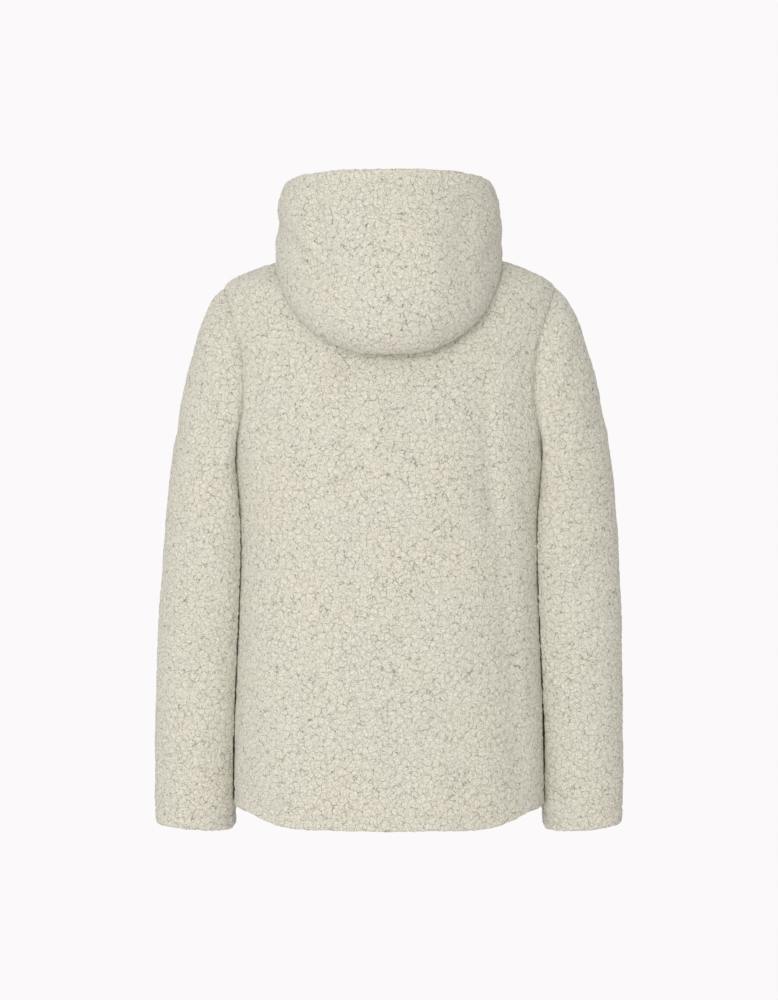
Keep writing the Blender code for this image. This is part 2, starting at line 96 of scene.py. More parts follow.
# The neck seam presses the wall thinner by this much, less and less over a reach
SEAM_PRESS = 2.4
SEAM_PRESS_REACH = 90.0
# Normals turn towards the one they share at a seam over this reach
SEAM_TURN = 7.0

# How finely the outer sides are divided, and how many of those steps an inner side takes at once
BODY_ROWS = 212
YOKE_ROWS = 117
SHOULDER_COLUMNS = 58
NECK_COLUMNS = 144
SLEEVE_ROWS = 286
HOOD_ROWS = 206
LINE_SAMPLES = 481
INNER_STEP = 4
# The hood is worked out as its solid is, in these steps, and each is divided into this many
HOOD_STEPS = 17
STRIP_STEPS = 6
HOOD_FINE = 9
RIM_TURNED = 0.93

# Outline of the garment
HEM_SIDE = -653.0
# The hem hangs lower in the middle; it drops between these shares of the half turn's sine
HEM_DROP = 14.5
HEM_DROP_STARTS = 0.42
HEM_DROP_ENDS = 0.88
UNDERARM = -250.0
SHOULDER_TIP = -30.0
NECK_POINT = 12.0
NECK_HALF_WIDTH = 84.0
BACK_NECK = 3.0
FRONT_NECK = -70.0
BACK_NECK_CURVE = 2.0
FRONT_NECK_CURVE = 1.15
ARMHOLE_INSET = 29.0

# Sections of the body from the hem up to the side of the neck
TORSO = {
    "height": (-690, -560, -460, -360, -290, -250, -200, -140, -90, -60, -40, -30, -20, -11, -1, 6, 12),
    "half_width": (187, 186, 183, 181, 184, 189, 197, 201, 202, 202, 201, 199, 189, 170, 143, 110, 84),
    "back": (112, 111, 109, 109, 111, 113, 114, 112, 106, 98, 90, 86, 80, 74, 67, 62, 58),
    "front": (118, 117, 115, 115, 118, 120, 122, 112, 92, 74, 64, 60, 56, 52, 48, 45, 43),
    "power": (2.35, 2.35, 2.3, 2.3, 2.3, 2.3, 2.25, 2.2, 2.15, 2.1, 2.1, 2.1, 2.05, 2.0, 2.0, 2.0, 2.0),
}

# Sections across the sleeve, from the armhole to the cuff, seen from behind
SLEEVE = {
    "outer_x": (199, 213, 227, 237, 249, 259, 267, 273, 278, 281, 283, 283, 282),
    "outer_z": (-30, -46, -78, -118, -170, -232, -300, -370, -440, -515, -590, -655, -678),
    "inner_x": (189, 182, 176, 171, 168, 167, 168, 170, 173, 177, 181, 184, 185),
    "inner_z": (-250, -262, -282, -308, -336, -370, -410, -455, -505, -560, -618, -664, -684),
    "half_depth": (64, 66, 68, 68, 66, 63, 60, 57, 54, 51, 48, 45, 44),
    "centre_y": (0, 0, 1, 2, 3, 5, 7, 9, 11, 12, 13, 13, 13),
}
SLEEVE_POWER = 2.15
# The right sleeve is fuller down to a share of its length
RIGHT_SLEEVE_FULLER = 6.0
FULLER_TO = 0.85
# Shares of the sleeve over which the armhole's shape and the gap to the body run out
ARMHOLE_BLEND = 0.3
REST_GAP_BLEND = 0.06

# Lines round the hood from the neck seam, down to its fold on the back and up to its rim
HOOD = {
    "half_width": (84, 89, 101, 114, 123, 128, 131, 133, 134, 133, 131, 128, 122),
    "side_y": (0, -1, -3, -6, -10, -13, -15, -17, -19, -21, -23, -25, -26),
    "side_z": (12, 29, 34, 22, 11, 8, 10, 17, 32, 50, 64, 78, 89),
    "open_z": (12, 19, 25, 30, 35, 39, 43, 47, 53, 60, 68, 78, 89),
    "back_y": (-58, -70, -86, -103, -113, -119, -131, -147, -158, -161, -154, -138, -121),
    "back_z": (3, 20, 18, -14, -58, -94, -112, -104, -76, -36, 12, 60, 103),
    "front_y": (72, 74, 77, 80, 82, 84, 85, 86, 88, 89, 90, 91, 92),
    "front_z": (-70, -68, -66, -64, -62, -60, -58, -56, -54, -51, -48, -45, -41),
    "strip": (46, 48, 51, 54, 57, 60, 62, 64, 66, 66, 66, 65, 63),
    "off_body": (0, 2.5, 3, 3, 3.5, 4, 5, 8, 12, 15, 17, 18, 18),
}
HOOD_POWER = 2.3
HOOD_FRONT_POWER = 2.1
HOOD_FRONT_DIP = 1.5
HOOD_BACK_DIP = 2.2
# The fold opens over this part of a turn, and from there to the front the collar lies this close
FOLD_OPENS = 0.65
COLLAR_GAP = 4.0
COLLAR_STARTS_Y = 10.0
COLLAR_BLEND = 40.0
# Share of the hood over which the neck's shape runs out
NECK_BLEND = 0.25

# The largest soft folds, one a line: x and z where it starts, x and z where it ends, half width and
# height, which is negative for a trough. They run out past their ends and where the body narrows
FOLD_RUN_OUT = 1.6
FOLDS_END_WIDTH = 150.0
FOLDS_FULL_WIDTH = 180.0
BACK_FOLDS = (
    (112, -250, 150, -620, 20, -4.0),
    (-42, -130, -38, -400, 16, -2.5),
    (108, -150, 120, -290, 16, -2.5),
    (-150, -420, -120, -640, 22, 3.0),
    (-40, -560, -60, -668, 18, -2.0),
    (60, -600, 70, -668, 18, 2.0),
)
FRONT_FOLDS = (
    (-95, -200, -140, -600, 22, -4.0),
    (70, -230, 120, -560, 20, -3.5),
    (20, -330, 30, -620, 18, 2.5),
    (140, -420, 120, -650, 22, 3.0),
    (-30, -560, -50, -664, 20, -2.5),
)
SLEEVE_FOLD_SHIFT = 12.0
SLEEVE_FOLDS = (
    (250, -150, 200, -230, 16, -2.0),
    (200, -250, 262, -310, 15, 2.0),
    (262, -330, 206, -400, 16, -2.0),
    (205, -470, 266, -520, 15, -1.8),
)
# The hood's folds start past its own turned fold and are full this far behind the neck
HOOD_FOLDS_START = 0.4
HOOD_FOLDS_FULL = 0.5
HOOD_FOLDS_DEPTH = 60.0
HOOD_FOLDS = (
    (-86, 92, -76, -6, 15, -4.5),
    (-136, 46, -84, -12, 12, -4.0),
    (20, 50, -10, 44, 30, -3.0),
    (96, 60, 84, -20, 16, -3.0),
)

# How the hood is moved clear of the body: rounds, the most a round moves it, the reach above
CLEAR_ROUNDS = 6
CLEAR_STEP = 8.0
CLEAR_ABOVE = 20.0
# The moves and the wall's directions are evened out in rounds, and a share of the gap is kept
CALM_ROUNDS = 4
CLOSEST = 0.75
NUDGE = 0.5
TINY = 1e-9

# Main creases that the cloth alone shows, in the same six numbers. The left sleeve's are shifted,
# the hood's fade out before its sides, and all run out towards a panel's seams
CREASE_SHIFT = 22.0
CREASE_DEPTH = 12.0
CREASE_RUN_OUT = 18.0
CREASES = {
    "back": (
        (-44, -120, -38, -380, 11, -1.6),
        (112, -140, 122, -290, 10, -2.0),
        (128, -280, 156, -600, 13, -2.2),
        (-128, -470, -110, -650, 16, -1.6),
        (-20, -560, -30, -668, 12, -1.2),
        (158, -640, 60, -650, 14, 1.0),
        (-175, -54, -175, -112, 6, -3.2),
    ),
    "front": (
        (-90, -170, -128, -520, 13, -2.2),
        (66, -220, 110, -560, 12, -2.0),
        (24, -330, 34, -600, 12, -1.5),
        (-130, -430, -116, -640, 15, -1.6),
        (118, -470, 108, -660, 13, -1.4),
    ),
    "sleeve": (
        (226, -96, 196, -240, 11, -2.4),
        (258, -176, 206, -262, 10, -1.6),
        (218, -290, 262, -344, 10, -1.6),
        (256, -420, 214, -470, 11, -1.4),
        (212, -560, 258, -600, 12, -1.2),
    ),
    "hood": (
        (-142, 50, -86, -12, 8, -5.0),
        (-86, 60, -76, 0, 10, -4.4),
        (-110, 62, -104, 40, 16, 1.8),
        (91, 58, 80, -12, 12, -2.2),
        (30, 30, 84, -50, 26, 2.6),
        (134, 20, 92, -30, 12, -2.0),
        (-40, 82, 40, 84, 20, -1.2),
    ),
}

# The pile, each to a metre
CLUMPS = 122.0
LOCKS = 240.0
CURLS = 460.0
LUMPS = 185.0
SOFT_LUMPS = 22.0
FIBRES = 880.0
BENDS = 230.0
CURL_BLEND = 0.4
# How far the bends move it and how high it stands, in metres
BEND = 0.0055
CLUMP_HEIGHT = 0.0002
LOCK_HEIGHT = 0.0002
LUMP_HEIGHT = 0.00105
SOFT_HEIGHT = 0.0005
# Widths of the grooves round clumps and locks, and where in the noise's range the lumps lie
CLUMP_GROOVE = 0.16
LOCK_GROOVE = 0.3
LUMP_RANGE = (0.3, 0.7)

# Colours: red, green and blue, linear
CREAM = (0.75, 0.725, 0.63)
COOL = (0.993, 1.0, 1.004)
WARM = (1.006, 0.998, 0.985)
# Pale clumps, and the painted highlight on the tops of fibres
PALE_TONE_AND_HIGHLIGHT = (0.90, 0.88, 0.77)
# Painted shade in the hollows of the pile and of the knit
SHADE_COLOUR = (0.46, 0.445, 0.36)
# Painted shade in the cracks between locks and clumps
CRACK_SHADE_COLOUR = (0.15, 0.15, 0.115)
THREAD = (0.60, 0.58, 0.49)
# Slow drifts of the wool's own colour: how many to a metre, and where in the noise's range they lie
DRIFTS = 13.0
DRIFT_RANGE = (0.35, 0.65)
# Pale clumps, painted highlight on fibre tops, painted shade in hollows: how far, and in which range
CLUMP_TINT = 0.06
TOP_HIGHLIGHT = 0.68
TOP_RANGE = (0.5, 0.72)
HOLLOW_SHADE = 0.36
HOLLOW_RANGE = (0.3, 0.5)
CURL_RANGE = (0.4, 0.9)
# Thin lines of painted shade in the cracks between locks and clumps: width, shade and breaks to a
# metre. Then where in the noise's range the breaks lie, and how much of a line is left in one
LOCK_SHADE_LINE = (0.1, 0.36, 300.0)
CRACK_SHADE_LINE = (0.055, 0.76, 210.0)
BREAK_RANGE = (0.42, 0.6)
BREAK_LEFT = 0.06
# The bump's parts: curls, fibres and dents, and how wide the dents are
CURL_RELIEF = -0.35
FIBRE_RELIEF = 0.6
DENT = 0.8
LOCK_DENT = 0.16
CRACK_DENT = 0.08
# Strength and depth in metres of each bump, and how far the pile's own direction calms its shading
PILE_BUMP = (0.6, 0.001)
KNIT_BUMP = (0.6, 0.0008)
THREAD_BUMP = (0.5, 0.0003)
CALM_SHARE = 0.78
# The knitted ground: ribs and stitches to a metre, and painted shade in its hollows up to a height
KNIT_RIBS = {"Scale": 160, "Distortion": 1.2, "Detail": 2, "Detail Scale": 3}
KNIT_STITCHES = 520.0
KNIT_RELIEF = -0.6
KNIT_SHADE = 0.55
KNIT_HOLLOW = 0.9
THREAD_TWIST = 900.0
# How each surface takes the light
PILE_SURFACE = {
    "Roughness": 0.95,
    "Specular IOR Level": 0.15,
    "Sheen Weight": 0.25,
    "Sheen Roughness": 0.6,
}
KNIT_SURFACE = {"Roughness": 0.9, "Specular IOR Level": 0.2, "Sheen Weight": 0.15}
THREAD_SURFACE = {"Roughness": 0.7}

# Edges sharper than this, in degrees, stay edges
SHARP_ANGLE = 60.0

# Stitches, in millimetres
STITCH_PITCH = 4.2
STITCH_LENGTH = 3.1
STITCH_RADIUS = 0.45
STITCH_RINGS = 6
STITCH_SIDES = 6
# How far the thread is pulled into the pile, and how far each stitch rises in its middle
STITCH_SUNK = 0.5
STITCH_RISE = 0.6
# Least part of a stitch's radius, squared, at its ends
STITCH_END = 0.05

# The studio and the camera, in metres and degrees
BACKDROP = (0.965, 0.947, 0.956)
SKY = (1.0, 0.98, 0.945)
SKY_STRENGTH = 0.64
# Lamps: place, aim, size, power and colour
LAMPS = {
    "key": ((-1.0, -3.95, 0.35), (0, 0, -0.3), 2.2, 86, (1.0, 0.985, 0.97)),
    "top": ((0.2, -0.8, 3.0), (0, 0, -0.3), 2.0, 3, (1.0, 1.0, 1.0)),
}
STUDIO_REACH = 9.0
FLOOR_Z = -4.0
BACKDROP_Y = 5.0
CAMERA_LIFT = 3.2
CAMERA_AIM_Z = -0.2856
CAMERA_DISTANCE = 3.0
LENS_MM = 90
SENSOR_MM = 36


def smooth(knots, values, at):
    """A smooth curve through the values, read at the given places."""
    knots = np.asarray(knots, float)
    values = np.asarray(values, float)
    at = np.clip(np.asarray(at, float), knots[0], knots[-1])
    slopes = np.gradient(values, knots)
    i = np.clip(np.searchsorted(knots, at) - 1, 0, len(knots) - 2)
    step = knots[i + 1] - knots[i]
    t = (at - knots[i]) / step
    start = (1 + 2 * t) * (1 - t) ** 2 * values[i] + t * (1 - t) ** 2 * step * slopes[i]
    end = t * t * (3 - 2 * t) * values[i + 1] + t * t * (t - 1) * step * slopes[i + 1]
    return start + end


def eased_step(value, low, high):
    """A number that goes softly from 0 to 1 between two values."""
    t = np.clip((value - low) / (high - low), 0, 1)
    return t * t * (3 - 2 * t)


def torso(name, height):
    """One column of the torso's table at a height."""
    return smooth(TORSO["height"], TORSO[name], height)


def torso_depth(y, height):
    """How deep the torso is at a height, on the side where y lies."""
    return np.where(y < 0, torso("back", height), torso("front", height))


def power_pair(angle, power):
    """Cosine and sine of a rounded square: each keeps its sign."""
    c = np.cos(angle)
    s = np.sin(angle)
    return np.sign(c) * np.abs(c) ** (2 / power), np.sign(s) * np.abs(s) ** (2 / power)


def body_point(angle, height, side):
    """A point of the body's surface: angle 0 is at +X, and side is -1 on the back, 1 on the front."""
    c, s = power_pair(angle, torso("power", height))
    depth = torso("back" if side < 0 else "front", height)
    x = torso("half_width", height) * c
    return np.stack([x, side * depth * np.abs(s), height + 0 * x], axis=-1)


def angle_at(x, height):
    """The body's angle where its surface reaches x at a height."""
    share = np.clip(np.abs(x) / torso("half_width", height), 0, 1)
    angle = np.arccos(share ** (torso("power", height) / 2))
    return np.where(np.asarray(x) < 0, np.pi - angle, angle)


def run_along(points, axis):
    """Distances along a grid's rows or columns from its first one."""
    steps = np.linalg.norm(np.diff(points, axis=axis), axis=-1)
    first = np.zeros_like(np.take(steps, [0], axis=axis))
    return np.concatenate([first, np.cumsum(steps, axis=axis)], axis=axis)


def evenly(points, count):
    """Places on a line of points, evenly spaced along it, as shares of its samples."""
    run = run_along(points, 0)
    return np.interp(np.linspace(0, run[-1], count), run, np.linspace(0, 1, len(points)))


def edge_rows(length, count):
    """Distances along a length: even rows, then the close rows that round its free edge."""
    close = np.array(EDGE_STEPS)
    return np.concatenate([np.linspace(0, length - close[-1], count), length - close[-2::-1]])


def edge_shares(line, count):
    """The same rows as shares of a line's samples."""
    run = run_along(line, 0)
    return np.interp(edge_rows(run[-1], count), run, np.linspace(0, 1, len(line)))


def armhole_x(rise):
    """How far out the armhole lies, with rise from 0 under the arm to 1 at the shoulder tip."""
    height = UNDERARM + (SHOULDER_TIP - UNDERARM) * rise
    return torso("half_width", height) - ARMHOLE_INSET * 4 * rise * (1 - rise)


def neck_places(side, count):
    """Angles and heights on the neck seam from its right point to its left one."""
    low = BACK_NECK if side < 0 else FRONT_NECK
    curve = BACK_NECK_CURVE if side < 0 else FRONT_NECK_CURVE

    def places(turn):
        height = NECK_POINT + (low - NECK_POINT) * np.sin(turn) ** curve
        return angle_at(NECK_HALF_WIDTH * np.cos(turn), height), height

    fine = np.linspace(0, np.pi, 2 * LINE_SAMPLES - 1)
    line = body_point(*places(fine), side)
    return places(np.pi * evenly(line, count))


def panel_places(side):
    """Angles and heights of a body panel's points, from the hem up to its shoulders and neck."""
    columns = 2 * SHOULDER_COLUMNS + NECK_COLUMNS + 1
    fine = np.linspace(0, np.pi, 2 * LINE_SAMPLES - 1)
    angle = np.pi * evenly(body_point(fine, UNDERARM + 0 * fine, side), columns)
    hem = HEM_SIDE - HEM_DROP * eased_step(np.sin(angle), HEM_DROP_STARTS, HEM_DROP_ENDS)
    share = 1 - edge_rows(UNDERARM - HEM_SIDE, BODY_ROWS)[::-1] / (UNDERARM - HEM_SIDE)
    rows_angle = [angle + 0 * s for s in share]
    rows_height = [hem + (UNDERARM - hem) * s for s in share]

    neck_angle, neck_height = neck_places(side, NECK_COLUMNS + 1)
    ridge = np.linspace(SHOULDER_TIP, NECK_POINT, SHOULDER_COLUMNS + 1)[:-1]
    top_angle = np.concatenate([0 * ridge, neck_angle, np.pi + 0 * ridge])
    top_height = np.concatenate([ridge, neck_height, ridge[::-1]])
    low_x = body_point(angle, UNDERARM + 0 * angle, side)[:, 0]
    low_x = low_x / low_x[0]
    top_x = body_point(top_angle, top_height, side)[:, 0]
    top_x = top_x / top_x[0]
    for rise in (1 - np.cos(np.pi * np.linspace(0, 1, YOKE_ROWS + 1)[1:-1])) / 2:
        height = UNDERARM + (top_height - UNDERARM) * rise
        x = armhole_x(rise) * (top_x + (low_x - top_x) * (1 - rise) ** 2)
        rows_angle.append(angle_at(x, height))
        rows_height.append(height)
    return np.array([*rows_angle, top_angle]), np.array([*rows_height, top_height])


def unit(vectors):
    """The vectors at length 1."""
    return vectors / np.maximum(np.linalg.norm(vectors, axis=-1, keepdims=True), TINY)


def across_grid(points, axis, ring):
    """Differences along an axis of a grid, or of one round a ring."""
    if ring:
        return np.roll(points, -1, axis=axis) - np.roll(points, 1, axis=axis)
    return np.gradient(points, axis=axis)


def grid_normals(points, ring):
    """Outward normals of a grid whose rows run up or along it and whose columns run round it."""
    return unit(np.cross(across_grid(points, 1, ring), np.gradient(points, axis=0)))


def fold_height(x, z, folds):
    """How far the soft folds raise or lower the cloth at a place seen square on."""
    raised = np.zeros_like(x)
    for x0, z0, x1, z1, half_width, height in folds:
        along = np.array([x1 - x0, z1 - z0], float)
        length = np.hypot(*along)
        along /= length
        off_x = x - x0
        off_z = z - z0
        run = off_x * along[0] + off_z * along[1]
        aside = off_x * along[1] - off_z * along[0]
        past = np.maximum(0, np.maximum(-run, run - length))
        reach = (aside / half_width) ** 2 + (past / (FOLD_RUN_OUT * half_width)) ** 2
        raised += height * np.exp(-reach)
    return raised


def body_panel(side):
    """The outer points of the back or the front."""
    points = body_point(*panel_places(side), side)
    folds = BACK_FOLDS if side < 0 else FRONT_FOLDS
    raised = fold_height(points[..., 0], points[..., 2], folds)
    calm = np.sqrt(np.sin(np.linspace(0, np.pi, points.shape[1])))
    wide = torso("half_width", points[..., 2]) - FOLDS_END_WIDTH
    calm = calm * np.clip(wide / (FOLDS_FULL_WIDTH - FOLDS_END_WIDTH), 0, 1)
    points[..., 1] += side * raised * calm
    return points


def armhole_line(grid_back, grid_front):
    """The armhole as a ring: from the shoulder tip down the back, then up the front."""
    start = len(grid_back) - YOKE_ROWS - 2
    down = grid_back[start:, 0][::-1]
    up = grid_front[start:, 0][1:-1]
    return np.concatenate([down, up])


def body_edge(y, z):
    """How far out the body's side reaches at a depth and a height."""
    power = torso("power", z)
    share = np.clip(1 - np.clip(np.abs(y) / torso_depth(y, z), 0, 1) ** power, 0, 1)
    return torso("half_width", z) * share ** (1 / power)


def sleeve_middle(station):
    """The line down the middle of the sleeve's outer and inner sides."""
    t = np.linspace(0, 1, LINE_SAMPLES)
    line = []
    for k in "xz":
        outer = smooth(station, SLEEVE["outer_" + k], t)
        line.append((outer + smooth(station, SLEEVE["inner_" + k], t)) / 2)
    return np.stack(line, axis=-1)


def sleeve_tube(ring, x_sign):
    """The outer points of a sleeve: rings from the armhole to the cuff, clear of the body."""
    count = len(ring)
    station = np.linspace(0, 1, len(SLEEVE["outer_x"]))
    share = edge_shares(sleeve_middle(station), SLEEVE_ROWS)
    turn = 2 * np.pi * np.arange(count) / count
    c, s = power_pair(turn, SLEEVE_POWER)
    ring = ring * [x_sign, 1, 1]
    rings = []
    for t in share:
        at = {name: smooth(station, values, t) for name, values in SLEEVE.items()}
        fuller = RIGHT_SLEEVE_FULLER * np.sin(np.pi * min(1, t / FULLER_TO)) ** 2 * (x_sign > 0)
        outer_x = at["outer_x"] + fuller
        x = (outer_x + at["inner_x"]) / 2 + (outer_x - at["inner_x"]) / 2 * c
        z = (at["outer_z"] + at["inner_z"]) / 2 + (at["outer_z"] - at["inner_z"]) / 2 * c
        y = at["centre_y"] - at["half_depth"] * s
        rings.append(np.stack([x, y, z], axis=-1))
    rings = np.array(rings)
    fade = np.clip(1 - share / ARMHOLE_BLEND, 0, 1) ** 2
    rings += fade[:, None, None] * (ring - rings[0])
    rings[0] = ring
    rings[1:] = folded_sleeve(rings[1:], x_sign)
    gap = REST_GAP * np.clip(share / REST_GAP_BLEND, 0, 1)[:, None]
    edge = body_edge(rings[..., 1], rings[..., 2]) + gap
    below = rings[..., 2] < UNDERARM
    rings[..., 0] = np.where(below, np.maximum(rings[..., 0], edge), rings[..., 0])
    return rings * [x_sign, 1, 1]


def folded_sleeve(points, x_sign):
    """A sleeve's points with its soft folds, the same on the back and the front."""
    shifted = points[..., 2] + SLEEVE_FOLD_SHIFT * x_sign
    raised = fold_height(points[..., 0], shifted, SLEEVE_FOLDS)
    middle = (points.min(axis=1) + points.max(axis=1)) / 2
    outward = points - middle[:, None, :]
    outward[..., 2] = 0
    length = np.linalg.norm(outward, axis=-1, keepdims=True)
    side = np.abs(outward[..., 1:2]) / length
    return points + outward / length * raised[..., None] * side


def torso_clearance(points):
    """Roughly how far each point is outside the body, and the way out."""

    def excess(p):
        z = np.clip(p[..., 2], TORSO["height"][0], TORSO["height"][-1])
        depth = torso_depth(p[..., 1], z)
        power = torso("power", z)
        across = (np.abs(p[..., 0]) / torso("half_width", z)) ** power
        level = across + (np.abs(p[..., 1]) / depth) ** power
        return level - 1 + np.maximum(0, p[..., 2] - TORSO["height"][-1]) / CLEAR_ABOVE

    slope = [excess(points + NUDGE * axis) - excess(points - NUDGE * axis) for axis in np.eye(3)]
    slope = np.stack(slope, axis=-1) / (2 * NUDGE)
    steepness = np.maximum(np.linalg.norm(slope, axis=-1), TINY)
    return excess(points) / steepness, slope / steepness[..., None]


def clear_of_body(points, gap):
    """Points moved out until they are clear of the body by the gap."""
    for _ in range(CLEAR_ROUNDS):
        distance, out = torso_clearance(points)
        points = points + np.clip(gap - distance, 0, CLEAR_STEP)[..., None] * out
    return points


def hood_line(at, columns_front, columns_side):
    """One line round the hood, from the centre front on the right to the middle of the back."""
    turn = np.linspace(0, np.pi / 2, LINE_SAMPLES)
    c, s = power_pair(turn, HOOD_POWER)
    # Ahead of the shoulder the fold opens out into a collar that only rises
    ahead = eased_step(np.pi / 2 - turn, 0, FOLD_OPENS)
    side_z = at["side_z"] + (at["open_z"] - at["side_z"]) * ahead
    front = np.stack(
        [
            at["half_width"] * np.sin(turn) ** (2 / HOOD_FRONT_POWER),
            at["side_y"] + (at["front_y"] - at["side_y"]) * np.cos(turn) ** (2 / HOOD_FRONT_POWER),
            side_z + (at["front_z"] - side_z) * np.cos(turn) ** HOOD_FRONT_DIP,
        ],
        axis=-1,
    )
    back = np.stack(
        [
            at["half_width"] * c,
            at["side_y"] + (at["back_y"] - at["side_y"]) * s,
            at["side_z"] + (at["back_z"] - at["side_z"]) * s ** (HOOD_POWER / HOOD_BACK_DIP),
        ],
        axis=-1,
    )
    line = np.concatenate([front, back[1:]])
    strip_columns = STRIP_STEPS // 2
    samples = np.linspace(0, 1, len(line))
    back_x = -line[LINE_SAMPLES:, 0]
    back_samples = samples[LINE_SAMPLES:]
    strip_start = np.interp(-at["strip"], back_x, back_samples)
    side_part = line[samples <= strip_start]
    where = evenly(side_part, columns_front + columns_side + 1) * strip_start
    strip_x = np.linspace(at["strip"], 0, strip_columns + 1)[1:]
    where = np.concatenate([where, np.interp(-strip_x, back_x, back_samples)])
    return np.stack([np.interp(where, samples, line[:, k]) for k in range(3)], axis=-1)


def softened(values, axis):
    """Values of a grid, each brought nearer to its two neighbours' mean; the edges stay."""
    calm = values.copy()
    here = [slice(None)] * values.ndim
    before = list(here)
    after = list(here)
    here[axis] = slice(1, -1)
    before[axis] = slice(None, -2)
    after[axis] = slice(2, None)
    neighbours = (values[tuple(before)] + values[tuple(after)]) / 2
    calm[tuple(here)] = (values[tuple(here)] + neighbours) / 2
    return calm


def past_fold(share):
    """From 0 to 1 past the hood's turned fold, where its outer side shows."""
    return np.clip((share - HOOD_FOLDS_START) / (HOOD_FOLDS_FULL - HOOD_FOLDS_START), 0, 1)


def hood_grid(neck):
    """The hood's outer points as its solid has them: rows from the neck seam, columns round it."""
    half = (neck.shape[0] - 1) // 2
    columns_back = NECK_COLUMNS // HOOD_FINE // 2
    columns_side = columns_back - STRIP_STEPS // 2
    columns_front = half - columns_back
    station = np.linspace(0, 1, len(HOOD["half_width"]))
    share = np.concatenate([np.linspace(0, RIM_TURNED, HOOD_STEPS), [1]])
    rows = []
    for t in share:
        at = {name: smooth(station, values, t) for name, values in HOOD.items()}
        right = hood_line(at, columns_front, columns_side)
        left = right[::-1][1:] * [-1, 1, 1]
        rows.append(np.concatenate([right, left]))
    grid = np.array(rows)
    fade = np.clip(1 - share / NECK_BLEND, 0, 1) ** 2
    grid += fade[:, None, None] * (neck - grid[0])
    grid[0] = neck
    behind = np.clip(-grid[..., 1] / HOOD_FOLDS_DEPTH, 0, 1)
    raised = fold_height(grid[..., 0], grid[..., 2], HOOD_FOLDS)
    grid[..., 1] -= raised * behind * past_fold(share)[:, None]
    gap = smooth(station, HOOD["off_body"], share)[1:, None]
    at_back = np.clip((COLLAR_STARTS_Y - grid[1:, :, 1]) / COLLAR_BLEND, 0, 1)
    gap = np.minimum(gap, COLLAR_GAP) + np.maximum(gap - COLLAR_GAP, 0) * at_back
    moves = clear_of_body(grid[1:], gap) - grid[1:]
    for _ in range(CALM_ROUNDS):
        moves = softened(moves, axis=0)
        moves = softened(moves, axis=1)
    grid[1:] = clear_of_body(grid[1:] + moves, gap * CLOSEST)
    return grid


def drawn_through(grid, at, axis=0):
    """A grid read smoothly between its rows or columns, at places counted in them."""
    knots = np.moveaxis(grid, axis, 0)
    slopes = np.gradient(knots, axis=0)
    i = np.clip(np.floor(at).astype(int), 0, len(knots) - 2)
    t = (at - i).reshape((-1,) + (1,) * (knots.ndim - 1))
    start = (1 + 2 * t) * (1 - t) ** 2 * knots[i] + t * (1 - t) ** 2 * slopes[i]
    end = t * t * (3 - 2 * t) * knots[i + 1] + t * t * (t - 1) * slopes[i + 1]
    return np.moveaxis(start + end, 0, axis)


def fine_hood(neck):
    """The hood's outer points and outward directions, drawn finely through its solid's."""
    neck = neck[::-1]
    coarse = hood_grid(neck[::-HOOD_FINE])[:, ::-1]
    out = grid_normals(coarse, False)
    for _ in range(CALM_ROUNDS):
        out = unit(softened(softened(out, axis=0), axis=1))
    columns = np.arange(len(neck)) / HOOD_FINE
    dense = np.linspace(0, len(coarse) - 1, LINE_SAMPLES)
    middle = drawn_through(coarse, dense)[:, coarse.shape[1] // 2]
    rows = edge_shares(middle, HOOD_ROWS) * (len(coarse) - 1)
    points = drawn_through(drawn_through(coarse, rows), columns, axis=1)
    out = drawn_through(drawn_through(out, rows), columns, axis=1)
    points += np.clip(1 - rows, 0, 1)[:, None, None] ** 2 * (neck - points[0])
    return points, unit(out)


def inset(points, ring):
    """A panel's points with its edges drawn in by half of the seam's gap."""
    moved = points.copy()

    def draw_in(edge, inner):
        along = unit(across_grid(edge, 0, ring))
        step = inner - edge
        step -= along * np.sum(step * along, axis=-1, keepdims=True)
        return unit(step) * SEAM_GAP / 2

    moved[0] += draw_in(points[0], points[1])
    moved[-1] += draw_in(points[-1], points[-2])
    if not ring:
        moved[:, 0] += draw_in(points[:, 0], points[:, 1])
        moved[:, -1] += draw_in(points[:, -1], points[:, -2])
    return moved


def neck_ring(back, front):
    """The neck seam from the centre front on the right, round the back, to the centre front."""
    across = slice(SHOULDER_COLUMNS, SHOULDER_COLUMNS + NECK_COLUMNS + 1)
    back_line = back[-1, across]
    front_line = front[-1, across]
    middle = NECK_COLUMNS // 2
    right = front_line[: middle + 1][::-1]
    left = front_line[middle:][::-1]
    return np.concatenate([right, back_line[1:-1], left])


def creased(name, points, normals):
    """A panel's points with its main creases, its armholes' valley and its sunken shoulders."""
    kind = name.split("_")[0]
    mirrored = name == "sleeve_left"
    across = points[..., 0] * (-1 if mirrored else 1)
    height = points[..., 2] + CREASE_SHIFT * mirrored
    raised = fold_height(across, height, CREASES[kind])
    if kind == "hood":
        raised = raised * np.clip(-points[..., 1] / CREASE_DEPTH, 0, 1)
        raised = raised * past_fold(np.linspace(0, 1, len(points)))[:, None]
    else:
        ring = kind == "sleeve"
        raised = raised * np.clip(seam_distance(points, ring, ring) / CREASE_RUN_OUT, 0, 1)
        raised = raised - armhole_valley(points, ring) - shoulder_sink(points)
    return points + normals * raised[..., None]


def shoulder_sink(points):
    """How far the cloth sinks on top of the shoulders and of the sleeves next to them."""
    across = points[..., 0]
    sink = 0
    for side, (depth, start) in zip((-1, 1), SHOULDER_SINKS):
        beside = eased_step(side * across, SHOULDER_FROM, SHOULDER_TO)
        sink = sink + depth * beside * eased_step(points[..., 2], start, SHOULDER_FULL)
    return sink


